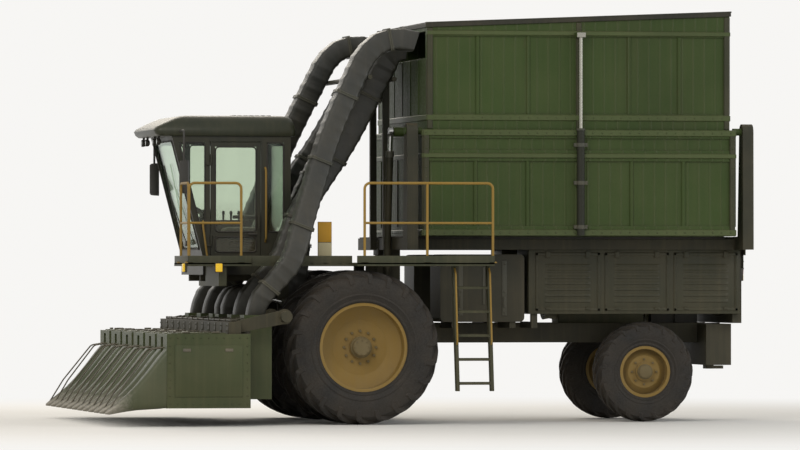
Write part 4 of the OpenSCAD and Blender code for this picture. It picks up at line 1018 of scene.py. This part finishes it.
def frame_of_ribs(x0, x1, half, low, high_at, rails, posts, proud, thin_from, thin_to):
    """Rails round the section's four walls, posts at its corners and thin ribs on the sides between them."""
    rail_bm, post_bm, thin_bm = bmesh.new(), bmesh.new(), bmesh.new()
    has_mouth = low > rim - 0.2
    for side in (-1, 1):
        y, wall, out = side * (half - 0.001), side * (half - 0.023), (0, side, 0)
        for z, deep in rails:
            hat_rib(rail_bm, (x0, y, z), (x1, y, z), (0, 0, deep), out, proud + 0.0035)
        for x in posts:
            hat_rib(post_bm, (x, y, low + 0.01), (x, y, high_at(x) - 0.012), (0.075, 0, 0), out, proud)
        for n in (1, 2, 4, 5):
            x = x0 + n * (x1 - x0) / 6 - 0.03
            hat_rib(thin_bm, (x, wall, thin_from), (x, wall, thin_to), (0.06, 0, 0), out, 0.018, 0.014)
    for way, x in ((-1, x0 + 0.001), (1, x1 - 0.001)):
        below_mouth = way > 0 and has_mouth
        for z, deep in rails:
            if not below_mouth or z <= 4.5:
                hat_rib(rail_bm, (x, -half, z), (x, half, z), (0, 0, deep), (way, 0, 0), proud)
        for n in range(7):
            y = -half + n * (2 * half - 0.06) / 6
            top = 4.60 if below_mouth else high_at(x) - 0.012 if n in (0, 6) else thin_to
            hat_rib(post_bm if n in (0, 3, 6) else thin_bm, (x, y, thin_from), (x, y, top), (0, 0.06, 0),
                    (way, 0, 0), proud - 0.004)
    return rail_bm, post_bm, thin_bm


middle_post = section_middle - 0.0375
lower = frame_of_ribs(basket_rear, basket_front, basket_half, basket_floor, lambda x: rim,
                      [(basket_floor, 0.085), (rim - 0.365, 0.065), (rim - 0.085, 0.085)],
                      (basket_rear, middle_post, basket_front - 0.075), 0.0165, basket_floor + 0.12,
                      rim - 0.37)
upper = frame_of_ribs(upper_rear, upper_front, upper_half, rim, top_at,
                      [(rim + 0.11, 0.08), (top_front - 0.10, 0.065)],
                      (upper_rear, middle_post, upper_front - 0.075), 0.012, rim + 0.20, top_front - 0.11)
for word, body, made in (("lower", "basket", lower), ("upper", "basket_upper", upper)):
    for part, finish, bm in zip(("rails", "posts", "ribs"), (rail_green, post_green, panel_green), made):
        piece(f"basket_{word}_{part}", bm, body, finish, smooth=0.3)

rail_lines = (rim - 0.043, basket_floor + 0.043)
lower_heads, upper_heads = [], []
for side in (-1, 1):
    face, out = side * (basket_half + 0.021), (0, side, 0)
    lower_heads += [((basket_rear + 0.06 + 0.12 * n, face, z), out) for z in rail_lines for n in range(34)]
    lower_heads += [((x, side * (basket_half + 0.0175), basket_floor + 0.15 + 0.12 * n), out)
                    for x in (basket_rear + 0.037, basket_front - 0.037) for n in range(10)]
    upper_heads += [((upper_rear + 0.10 + 0.12 * n, side * (upper_half + 0.015), rim + 0.15), out)
                    for n in range(32)]
for way, x in ((-1, basket_rear - 0.0175), (1, basket_front + 0.0175)):
    lower_heads += [((x, -1.62 + 0.135 * n, z), (way, 0, 0)) for n in range(25) for z in rail_lines]
# The rivets take the rails' lighter green, which is painted light.
for word, body, spots, size in (("lower", "basket", lower_heads, (0.009, 0.006)),
                                ("upper", "basket_upper", upper_heads, (0.008, 0.004))):
    piece(f"basket_{word}_rivets", heads(spots, *size, rail_green), body, rail_green)

# Fittings of the raising cylinders
# Steel clamps hold each barrel to the basket's side, and a gland closes its top round the chromed rod.
# Both are painted dark, and dust lies on their tops.

clamps = bmesh.new()
for side in (-1, 1):
    barrel = (section_middle, side * raise_y, 0)
    for z in (2.46, 3.02, 3.50):
        for x in (section_middle - 0.067, section_middle + 0.067):
            block(clamps, (x - 0.020, side * basket_half, z),
                  (x + 0.020, side * (raise_y + 0.01), z + 0.05), 0.006)
        turned(clamps, [(raise_radius + proud, z + rise) for proud, rise in
                        ((0, 0), (0.011, 0), (0.011, 0.05), (0, 0.05))], barrel, 28, "Z")
    turned(clamps, [(0.030, 3.706), (0.056, 3.706), (0.058, 3.712), (0.058, 3.730), (0.052, 3.736),
                    (0.030, 3.736)], barrel, 28, "Z")
piece("raise_clamps", clamps, "basket", band_steel)

# Rests under the basket
# Strips of rubber on the cradle's sills and cross beams, which the basket's floor comes down on.

rests = bmesh.new()
sill_middle, sill_top, beam_top, under = 1.165, 2.334, 2.354, basket_floor - 0.002
for side in (-1, 1):
    block(rests, (basket_rear + 0.02, side * (sill_middle - 0.045), sill_top - 0.002),
          (basket_front - 0.02, side * (sill_middle + 0.045), under), 0.004)
for x in (0.12, -4.24):
    for n in range(6):
        y = -1.55 + n * 0.55
        block(rests, (x, y - 0.10, beam_top - 0.002), (x + 0.12, y + 0.10, under), 0.004)
piece("basket_rests", rests, "chassis", seal_rubber)

# Roof frames of the basket
# The roof's two halves are flat frames with cross bars over fine wire screen that lets the air out.

slope = math.atan2(top_rise, upper_front - upper_rear)
for word, y0, y1, body in (("fixed", -1.655, -0.03, "basket_upper"), ("hinged", 0.035, 1.655, "basket_door")):
    bars, wire = bmesh.new(), bmesh.new()
    for y in (y0, y1 - 0.06):
        block(bars, (-3.96, y, 0.046), (0.015, y + 0.06, 0.066), 0.004)
    for n in range(9):
        x = -3.96 + n * (3.975 - 0.06) / 8
        block(bars, (x, y0 + 0.059, 0.046), (x + 0.06, y1 - 0.059, 0.062), 0.004)
    block(wire, (-3.95, y0 + 0.05, 0.050), (-3.944, y1 - 0.05, 0.054), 0)
    wires = in_rows(wire, roof_finish, 88, (0.045, 0, 0))
    bars.from_mesh(wires)
    bpy.data.meshes.remove(wires)
    piece(f"roof_bars_{word}", spin(bars, slope, "Y"), body, roof_finish,
          move=(upper_front, 0, top_front))

# Handrails, walkway and ladder
# Bent steel pipe in yellow, welded to foot plates on a deck of pressed chequer plate with toe boards.
# The deck hangs from bearers on the frame, and a steep ladder with gripping treads leads up at its rear.

deck_green = paint("deck_green", "#232b18", gloss=0.45, dust=0.36, wear=1.0)
wear_on(deck_green, "walkway", "ladder")
deck_low, deck_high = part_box("walkway")
rail_radius, rail_side = 0.017, 1.93
deck_top, rail_top = deck_high.z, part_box("handrails")[1].z - rail_radius
rail_edge, rail_front = deck_high.y - 0.02, deck_high.x - 0.02


def rail_panel(*posts):
    """Handrail through its first and last post, with its middle rail, and feet bolted to the deck."""
    (xa, ya), (xb, yb) = posts[0], posts[-1]
    half = (deck_top + rail_top) / 2
    hoop = [(xa, ya, deck_top), (xa, ya, rail_top), (xb, yb, rail_top), (xb, yb, deck_top)]
    runs = [(hoop, rail_radius, 0.07), ([(xa, ya, half), (xb, yb, half)], rail_radius - 0.002, 0.05)]
    runs += [([(x, y, deck_top), (x, y, rail_top)], rail_radius, 0.05) for x, y in posts[1:-1]]
    feet, bolts = bmesh.new(), []
    for x, y in posts:
        block(feet, (x - 0.05, y - 0.02, deck_top - 0.002), (x + 0.05, y + 0.02, deck_top + 0.010), 0.003)
        bolts += [((x + dx, y, deck_top + 0.012), (0, 0, 1)) for dx in (-0.036, 0.036)]
    return [bent_pipe(points, radius, rail_yellow, bend, 12) for points, radius, bend in runs] + [
        feet, heads(bolts, 0.009, 0.008, rail_yellow)]


rails = rail_panel(*[(x, rail_edge) for x in (-0.74, 0.10, 0.90)])
rails += rail_panel((2.42, rail_side), (rail_front, rail_side))
rails += rail_panel((rail_front, rail_side - 0.05), (rail_front, 1.28))
ladder_low, ladder_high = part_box("ladder")
for x in (ladder_low.x + 0.02, ladder_high.x - 0.02):
    rails.append(bent_pipe([(x, 2.13, 0.98), (x, 2.24, 1.02), (x, 2.13, 1.90), (x, 2.06, 1.96)], 0.012,
                           rail_yellow))
piece("handrail_pipes", rails, "chassis", rail_yellow, ["handrails"])


def chequer(turn):
    """One raised lozenge of the chequer plate."""
    mark = cone(4, 0.022, 0.010, 0.005)
    bmesh.ops.scale(mark, vec=(1.0, 0.32, 1.0), verts=mark.verts)
    return spin(spin(mark, math.pi / 4, "Z"), turn, "Z")


chequers, spacing = [], 0.06
for x0, x1, y0, y1 in ((0.42, 0.98, -1.58, 2.18), (1.02, 2.28, 1.45, 1.88), (2.31, 3.06, 0.89, 1.90),
                       (-0.74, 0.36, 1.78, 2.18)):
    for offset, turn in ((0.01, 0.0), (0.04, math.pi / 2)):
        chequers.append(in_rows(chequer(turn), deck_green, int((x1 - x0 - 0.02) / spacing), (spacing, 0, 0),
                                int((y1 - y0 - 0.02) / spacing), (0, spacing, 0),
                                (x0 + offset, y0 + offset, deck_top + 0.002)))
piece("deck_chequers", chequers, "chassis", deck_green, smooth=0)
boards = bmesh.new()
for x0, x1, y0, y1 in ((-0.76, 1.0, 2.222, 2.23), (1.0, 2.29, 1.892, 1.90), (2.29, 3.10, 1.942, 1.95),
                       (3.092, 3.10, 0.89, 1.95)):
    block(boards, (x0, y0, deck_top - 0.02), (x1, y1, deck_top + 0.09), 0.003)
for n in range(5):
    z = 0.53 + n * 0.30
    for dy in (-0.045, 0.0, 0.045):
        y = 2.24 - 0.24 * (z - 0.45) / (deck_low.z + 0.03) + dy
        block(boards, (-0.69, y - 0.006, z - 0.002), (-0.31, y + 0.006, z + 0.006), 0.002, 1)
piece("toe_boards", boards, "chassis", deck_green)

# Engine bay panels
# Sheet steel doors close the engine bay on both sides: pressed louvres let the air out, and lift-off
# latches and strap hinges hold them.

# This near-black green is painted shade, darker than the real paint of the doors.
panel_dark = paint("panel_dark", "#1f2516", gloss=0.36, dust=0.30, wear=0.6)
wear_on(panel_dark, "radiator_door", "blower")
low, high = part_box("engine_panels")
panel_low, panel_high, bay_front, bay_rear = low.z, high.z, high.x, low.x
panel_in, panel_out, louvre_long = 1.15, 1.18, 0.60
first_door, door_pitch, louvre_pitch = -4.16, 0.905, 0.075


def louvre_hood(side):
    """One pressed louvre: a hood that rises out of the sheet and opens along its lower edge."""
    bm = bmesh.new()
    outline = ((0.0, 0.037), (0.008, 0.031), (0.013, 0.018), (0.014, 0.002), (0.010, 0.0), (0.0, 0.0))
    loft(bm, [[(x, side * (panel_out - 0.002 + reach * d), z) for d, z in outline]
              for x, reach in ((0.0, 0.0), (0.022, 0.82), (0.05, 1.0), (louvre_long - 0.05, 1.0),
                               (louvre_long - 0.022, 0.82), (louvre_long, 0.0))])
    return bm


bay, louvres, bay_heads = bmesh.new(), [], []
for side in (-1, 1):
    for x0, x1, y0, y1 in ((bay_rear, bay_front, panel_in, panel_out),
                           (bay_rear, bay_rear + 0.03, 1.10, panel_in + 0.004),
                           (bay_front - 0.03, bay_front, 0.47, panel_in + 0.004)):
        block(bay, (x0, side * y0, panel_low), (x1, side * y1, panel_high), 0.004)
    for n in range(3):
        door = first_door + n * door_pitch
        # Columns: two corners along and up the door, its inner and outer face off the sheet, its rounding
        for ax, az, bx, bz, inner, outer, soft in (
                (0, 0.04, 0.84, 0.075, -0.004, 0.011, 0.005), (0, 0.745, 0.84, 0.78, -0.004, 0.011, 0.005),
                (0, 0.04, 0.035, 0.78, -0.004, 0.011, 0.005), (0.805, 0.04, 0.84, 0.78, -0.004, 0.011, 0.005),
                (0.13, 0.715, 0.19, 0.80, 0.006, 0.024, 0.006),
                (0.13, 0.055, 0.19, 0.085, 0.006, 0.024, 0.006),
                (0.65, 0.715, 0.71, 0.80, 0.006, 0.024, 0.006),
                (0.65, 0.055, 0.71, 0.085, 0.006, 0.024, 0.006)):
            block(bay, (door + ax, side * (panel_out + inner), panel_low + az),
                  (door + bx, side * (panel_out + outer), panel_low + bz), soft)
        bay_heads += [((door + x, side * (panel_out + 0.013), panel_low + z), (0, side, 0))
                      for x in (0.017, 0.822) for z in (0.12, 0.30, 0.48, 0.66)]
        louvres.append(in_rows(louvre_hood(side), panel_dark, 1, (1, 0, 0), 7, (0, 0, louvre_pitch),
                               (door + 0.12, 0, panel_low + 0.15)))
piece("engine_bay_panels", [bay, heads(bay_heads, 0.008, 0.006, panel_dark)] + louvres, "chassis",
      panel_dark, ["engine_panels"], smooth=0.5)

# Tanks
# Rounded fuel and water tanks stand between the wheels, moulded in one piece each and strapped down with
# steel bands. A folded steel tank closes the machine's rear.

# The tanks' near-black green is painted shade, darker than their real colour.
wear_on(paint("tank_finish", "#1b1f15", gloss=0.42, dust=0.32, wear=0.5), "tanks")
straps, tank_heads, strap_places = bmesh.new(), [], (-1.10, -0.53)
for side in (-1, 1):
    for x in strap_places:
        # Columns: half the width along, two corners across and up, how round the edges are
        for half, y0, z0, y1, z1, soft in ((0.03, 1.196, 1.36, 1.208, 2.06, 0.003),
                                           (0.03, 0.56, 2.078, 1.19, 2.088, 0.003),
                                           (0.03, 0.532, 1.42, 0.544, 2.06, 0.003),
                                           (0.016, 1.200, 1.46, 1.216, 1.60, 0.005)):
            block(straps, (x - half, side * y0, z0), (x + half, side * y1, z1), soft)
        tank_heads += [((x, side * 1.214, z), (0, side, 0)) for z in (1.40, 1.66, 2.02)]
    turned(straps, [(0.001, 2.078), (0.075, 2.078), (0.075, 2.098), (0.062, 2.100), (0.062, 2.125),
                    (0.052, 2.138), (0.001, 2.140)], (-0.82, side * 1.02, 0), 28, "Z")
    block(straps, (-0.845, side * 1.197, 1.50), (-0.815, side * 1.209, 1.98), 0.005)
tank_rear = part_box("tanks")[0].x
for y in (-0.62, 0.62):
    block(straps, (tank_rear - 0.008, y - 0.03, 0.74), (tank_rear + 0.002, y + 0.03, 1.22), 0.003)
    tank_heads += [((tank_rear - 0.006, y, z), (-1, 0, 0)) for z in (0.78, 1.0, 1.2)]
piece("tank_straps", [straps, heads(tank_heads, 0.010, 0.008, band_steel)], "chassis",
      band_steel)

# Engine
# A six-cylinder diesel with its rocker covers, filters and manifold, in green paint dulled by oil and dust.
# The block is cast iron, with bolted covers, belt pulleys at its rear and a flywheel housing in front.

low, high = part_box("engine")
rear, front, half, sump, top = low.x, high.x, high.y, low.z, high.z
motor = bmesh.new()
for back, fore, wide, z0, z1, soft in ((0.10, 0.02, 0.62, sump, sump + 0.22, 0.03),
                                       (0.06, 0.05, 0.55, sump + 0.18, sump + 0.56, 0.02),
                                       (0.12, 0.12, 0.42, sump + 0.54, top - 0.12, 0.02)):
    block(motor, (rear + back, -half * wide, z0), (front - fore, half * wide, z1), soft)
for n in range(6):
    x = rear + 0.20 + n * 0.155
    block(motor, (x, -half * 0.36, top - 0.14), (x + 0.13, half * 0.36, top - 0.02), 0.022)
    knob(motor, [(0.034, 0.0), (0.034, 0.14)], (x + 0.065, half * 0.42, top - 0.30), 16)
# Pulleys and the flywheel's housing: place, radius and length
for x, y, z, r, length in ((rear + 0.06, 0.0, 0.14, 0.13, 0.05), (rear + 0.06, 0.0, 0.46, 0.20, 0.045),
                           (rear + 0.06, 0.19, 0.60, 0.065, 0.05), (front - 0.02, 0.0, 0.30, 0.24, -0.16)):
    knob(motor, [(r, 0.0), (r * 0.94, -length / 2), (r, -length)], (x, y, sump + z), 32, "X")
knob(motor, [(0.072, -0.10), (0.078, 0.0), (0.072, 0.22)], (rear + 0.45, -half * 0.72, sump + 0.42), 24, "Z")
knob(motor, [(0.05, 0.0), (0.05, 0.85)], (rear + 0.2, half * 0.78, top - 0.23), 20, "X")
piece("engine_block", motor, "chassis",
      paint("engine_green", "#2f3b22", gloss=0.3, dust=0.6, wear=0.8), ["engine"])

# Radiator and its screen door
# A black finned core stands behind a hinged sheet steel door with a fine wire screen that stops lint.
# Strap hinges hold the door, and a catch keeps it shut.

core_black = moulded("core_black", "#191a18", 0.6)
wear_on(core_black, "radiator")
door_x, mesh_pitch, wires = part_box("radiator_door")[0].x, 0.0098, []
for x, y, z, copies, step in ((0.0085, 0.17, 1.452, 60, (0, 0, mesh_pitch)),
                              (0.0105, -0.818, 2.04, 101, (0, mesh_pitch, 0))):
    wire = bmesh.new()
    block(wire, (door_x + x, -0.82, 1.45), (door_x + x + 0.002, y, z), 0)
    wires.append(in_rows(wire, core_black, copies, step))
piece("radiator_screen", wires, "radiator_door", core_black, smooth=0)
catch = bmesh.new()
block(catch, (door_x - 0.018, 0.19, 1.70), (door_x + 0.002, 0.235, 1.84), 0.006)
block(catch, (door_x - 0.030, 0.20, 1.715), (door_x - 0.014, 0.225, 1.825), 0.006)
for z in (1.50, 1.74, 1.98):
    block(catch, (door_x - 0.006, -0.86, z - 0.012), (door_x + 0.002, 0.24, z + 0.012), 0.003)
piece("radiator_catch", catch, "radiator_door", band_steel)

# Lamps, marker lamps and marker board
# Work lamps with fluted glass hang under the cab's visor, amber marker lamps stand at the platform's edges,
# and a two-coloured marker board stands on the deck. Each is a moulded housing with a bonded lens.


def lens(name, colour, glow):
    f = Finish(name)
    colour = rgb(colour)
    flutes = f.node("ShaderNodeTexWave", {"Vector": f.place, "Scale": 28.0, "Distortion": 0.2},
                    bands_direction="DIAGONAL").outputs["Fac"]
    f.set(Base_Color=f.blend(flutes, shaded(colour, 0.7), colour), Emission_Color=colour,
          Emission_Strength=glow, Roughness=f.spread(f.noise(30.0), 0.3, 0.7, 0.12, 0.3))
    f.bump(flutes, 0.4, 0.002)
    return f.material


housings, clear, amber, red, upper_board, lower_board = (bmesh.new() for n in range(6))
work_lamp_x, marker_foot, marker_top = 3.23, 1.91, 2.03
for side in (-1, 1):
    for y in (side * 0.30, side * 0.62):
        place = (work_lamp_x, y, cab_top - 0.07)
        turned(housings, [(0.001, 0.0), (0.022, 0.002), (0.038, 0.012), (0.045, 0.030), (0.045, 0.058),
                          (0.039, 0.060), (0.039, 0.052), (0.001, 0.052)], place, 28, "X")
        turned(clear, [(0.001, 0.0515), (0.0385, 0.0515), (0.0385, 0.055), (0.02, 0.0585), (0.001, 0.0595)],
               place, 28, "X")
        block(housings, (3.246, y - 0.014, cab_top - 0.045), (3.274, y + 0.014, cab_top), 0.004)
    block(housings, (bay_rear - 0.046, side * 1.102, 1.80), (bay_rear, side * 1.18, 1.96), 0.008)
    for bm, z in ((red, 1.884), (amber, 1.808)):
        block(bm, (bay_rear - 0.050, side * 1.110, z), (bay_rear - 0.040, side * 1.172, z + 0.068), 0.006)
for low, high, way in (((deck_high.x, 1.79, marker_foot), (deck_high.x + 0.06, 1.91, marker_top), 0),
                       ((2.66, 1.95, marker_foot), (2.76, 2.0, marker_top), 1)):
    shell, face = Vector(high), Vector(low)
    shell[way] = low[way] + 0.022
    face[way] = low[way] + 0.018
    block(housings, low, shell, 0.006)
    block(amber, face + Vector((0.008, 0.008, 0.008)), Vector(high) - Vector((0.006, 0.006, 0.008)), 0.014, 3)
block(housings, (1.18, 1.4405, deck_top), (1.36, 1.452, deck_top + 0.52), 0.004)
for bm, z in ((upper_board, deck_top + 0.262), (lower_board, deck_top + 0.004)):
    block(bm, (1.184, 1.450, z), (1.356, 1.464, z + 0.254), 0.003)
piece("lamp_housings", housings, "chassis", trim_black, ["lamps"])
for name, bm, slot, finish in (
        ("work_lamp_lenses", clear, "glass", lens("clear_lens", "#dfe4e2", 0.1)),
        ("marker_lenses", amber, "lamp", lens("amber_lens", "#e8be26", 0.25)),
        ("tail_lenses", red, "lamp", lens("red_lens", "#b3231c", 0.15)),
        ("marker_board_upper", upper_board, "lamp", paint("board_amber", "#dba42c", 0.3, 0.15, 0.3)),
        ("marker_board_lower", lower_board, "lamp", paint("board_pale", "#d8cda4", 0.3, 0.20, 0.3))):
    piece(name, bm, "chassis", finish)

# Mirrors
# Tall mirrors on bent arms stand on both sides of the cab, each a black moulded shell round a silvered glass.


def bright_metal(name, first, second, cloud, grain, rough, streaks=None):
    """Plated or silvered metal, bright where it is clean and duller under a film of dust."""
    f = Finish(name)
    colour = f.blend(f.noise(cloud), rgb(first), rgb(second))
    place = f.stretched(*streaks) if streaks else None
    f.set(Base_Color=colour, Metallic=1.0, Roughness=f.spread(f.noise(grain, 4.0, place), *rough))
    return f.material


silvered = bright_metal("silvered_glass", "#b9bfc0", "#ccd1d1", cloud=9.0, grain=6.0,
                        rough=(0.35, 0.75, 0.03, 0.16))
glasses, mirror_shells, arms = bmesh.new(), bmesh.new(), []
mirror_y, mirror_x, mirror_z, arm_x, arm_z = 1.215, 2.972, 3.115, 3.03, 3.70
# Columns: distance behind the glass, half width, how much shorter the shell is at each end
shell_shape = [(0.0, 0.019, 0.0), (0.012, 0.024, 0.002), (0.06, 0.0245, 0.004), (0.10, 0.020, 0.010),
               (0.118, 0.010, 0.03)]
for middle in (-mirror_y, mirror_y):
    loft(mirror_shells, [[(mirror_x + x, middle + u * w, mirror_z + v * (0.213 - d)) for u, v in quarters]
                         for x, w, d in shell_shape])
    block(glasses, (2.9695, middle - 0.0175, 2.912), (2.9735, middle + 0.0175, 3.318), 0.001, 1)
    reach = [(arm_x, math.copysign(0.90, middle), arm_z), (arm_x, middle, arm_z), (arm_x, middle, 3.31)]
    arms.append(bent_pipe(reach, 0.014, trim_black, 0.06, 12))
piece("mirror_shells", [mirror_shells] + arms, "chassis", trim_black, ["mirrors"])
piece("mirror_glass", glasses, "chassis", silvered)

# Cylinders
# Honed and chromed rods slide in dark painted barrels that end in a steel gland. A rigid oil pipe runs
# along each barrel, from the port by its foot to the gland.

chrome = bright_metal("rod_chrome", "#a9a9a6", "#c9c9c6", cloud=25.0, grain=60.0,
                      rough=(0.3, 0.7, 0.10, 0.28), streaks=(8, 8, 0.6))
wear_on(chrome, "lift_rods", "dump_rods")


def gland(bm, foot, way, radius, places):
    """Rings round a barrel at distances from its foot's eye, along the line to the other eye."""
    for at, long, proud in places:
        inner, outer = radius - 0.004, radius + proud
        ring = turned(bm, [(inner, 0.0), (outer - 0.003, 0.0), (outer, 0.004), (outer, long - 0.004),
                           (outer - 0.003, long), (inner, long)], (0, 0, 0), 28, "Z")
        bmesh.ops.rotate(bm, cent=(0, 0, 0), matrix=way.to_track_quat("Z", "Y").to_matrix(), verts=ring)
        bmesh.ops.translate(bm, vec=foot + way * at, verts=ring)


def oil_line(foot, way, aside, start, end, radius):
    """A steel oil pipe along a barrel: out of the port by its foot, and in at the gland."""
    aside = (aside - way * way.dot(aside)).normalized()
    points = [foot + way * at + aside * (radius + off)
              for at, off in ((start, 0), (start, 0.035), (end, 0.035), (end, 0))]
    return bent_pipe([tuple(p) for p in points], 0.008, oil_steel, 0.025, 8)


lift_eyes = [((1.13, y, 1.38), (1.96, y, 1.61)) for y in (-0.54, 0.54)]
dump_eyes = [((x, 0.52, 1.40), (x, 0.86, 3.70)) for x in (0.31, -4.055)]
# Columns: name, eyes, barrel's radius, its rings, the way its pipe lies, the pipe's ends and distance
for word, eyes, radius, places, aside, line in (
        ("lift", lift_eyes, 0.042, [(0.50, 0.058, 0.006), (0.09, 0.035, 0.004)],
         (0, 0, 1), (0.13, 0.52, 0.034)),
        ("dump", dump_eyes, 0.045, [(2.00, 0.078, 0.007), (0.12, 0.05, 0.005)],
         (0, -1, 0), (0.18, 2.02, 0.038))):
    glands, lines = bmesh.new(), []
    for foot, eye in eyes:
        way = (Vector(eye) - Vector(foot)).normalized()
        gland(glands, Vector(foot), way, radius, places)
        lines.append(oil_line(Vector(foot), way, Vector(aside), *line))
    piece(f"{word}_glands", [glands] + lines, f"{word}_barrels", band_steel)

# Joint plates of the cradle
# Steel plates welded over the corners of legs and beams, and drilled and bolted through.

plates, plate_bolts = bmesh.new(), []
for x, way, middle in ((-4.25, -1, 1.04), (0.25, 1, 0.41)):
    for y in (-middle, middle):
        for half, z0, z1 in ((0.17, 2.13, 2.33), (0.055, 1.92, 2.15)):
            block(plates, (x - way * 0.004, y - half, z0), (x + way * 0.010, y + half, z1), 0.003)
        places = [(dy, z) for dy in (-0.13, 0, 0.13) for z in (2.23, 2.29)] + [(0, 1.96), (0, 2.05)]
        plate_bolts += [((x + way * 0.014, y + dy, z), (way, 0, 0)) for dy, z in places]
piece("cradle_plates", [plates, heads(plate_bolts, 0.014, 0.011, frame_paint)], "chassis",
      frame_paint)

# Stage: a pale floor and soft studio light
# The camera stands where the photographer stood, low on the left and a little to the front, with a long lens.

view_turn, eye_height, eye_distance, seen_width = math.radians(169), 1.96, 85.0, 10.3
target = Vector((0.02, 0.0, 2.52))
eye = target + Vector((math.sin(view_turn), -math.cos(view_turn), 0)) * eye_distance
eye.z = eye_height


def placed(name, data, place, towards):
    """A camera or lamp at a place, turned towards a point."""
    held = bpy.data.objects.new(name, data)
    held.location = place
    held.rotation_mode = "QUATERNION"
    held.rotation_quaternion = (Vector(towards) - Vector(place)).to_track_quat("-Z", "Y")
    bpy.context.scene.collection.objects.link(held)
    return held


camera = placed("camera", bpy.data.cameras.new("camera"), eye, target)
camera.data.lens = camera.data.sensor_width * eye_distance / seen_width
camera.data.clip_end = 2000
bpy.context.scene.camera = camera
bpy.context.scene.view_settings.view_transform = "Standard"


def sees_backdrop(nodes):
    """1 for the rays that show the backdrop: the camera's own, and those by way of metal or glass."""
    rays, found = nodes.node("ShaderNodeLightPath"), 0.0
    for kind in ("Is Camera Ray", "Is Glossy Ray", "Is Transmission Ray"):
        found = nodes.math("MAXIMUM", rays.outputs[kind], found)
    return found


backdrop_white, backdrop_colour = 0.93, (1.0, 0.99, 0.97, 1.0)
f = Finish("pale_floor")
f.set(Base_Color=f.blend(f.noise(0.8, 2.0), rgb("#e9e7e2"), rgb("#edebe7")), Roughness=0.9)
away = f.node("ShaderNodeVectorMath", {0: f.place}, operation="LENGTH").outputs["Value"]
lost = f.node("ShaderNodeMapRange", {"Value": away, "From Min": 6.0, "From Max": 17.0},
              interpolation_type="SMOOTHSTEP").outputs[0]
glow = f.node("ShaderNodeEmission", {"Color": backdrop_colour, "Strength": backdrop_white}).outputs[0]
lost = f.times(lost, sees_backdrop(f))
blended = f.node("ShaderNodeMixShader", {0: lost, 1: f.shader.outputs[0], 2: glow})
f.feed(f.surface.inputs[0], blended.outputs[0])
ground = bmesh.new()
bmesh.ops.create_circle(ground, cap_ends=True, segments=96, radius=120)
piece("ground", ground, None, f.material, smooth=0)

world = bpy.data.worlds.new("studio")
bpy.context.scene.world = world
world.use_nodes = True
sky = Nodes(world.node_tree)
backdrop = sky.node("ShaderNodeMix", {0: sees_backdrop(sky), 2: 0.52, 3: backdrop_white}, data_type="FLOAT")
background = sky.tree.nodes["Background"].inputs
sky.feed(background["Strength"], backdrop.outputs[0])
sky.feed(background["Color"], backdrop_colour)

for name, place, size, power, colour in (
        ("key_light", (9, 15, 13), 9, 1200, (1.0, 0.95, 0.88)),
        ("fill_light", (-14, 9, 8), 10, 550, (0.92, 0.96, 1.0)),
        ("rim_light", (2, -15, 12), 9, 1200, (1.0, 0.92, 0.80))):
    lamp = bpy.data.lights.new(name, "AREA")
    lamp.size, lamp.energy, lamp.color = size, power, colour
    placed(name, lamp, place, (0, 0, 2.3))
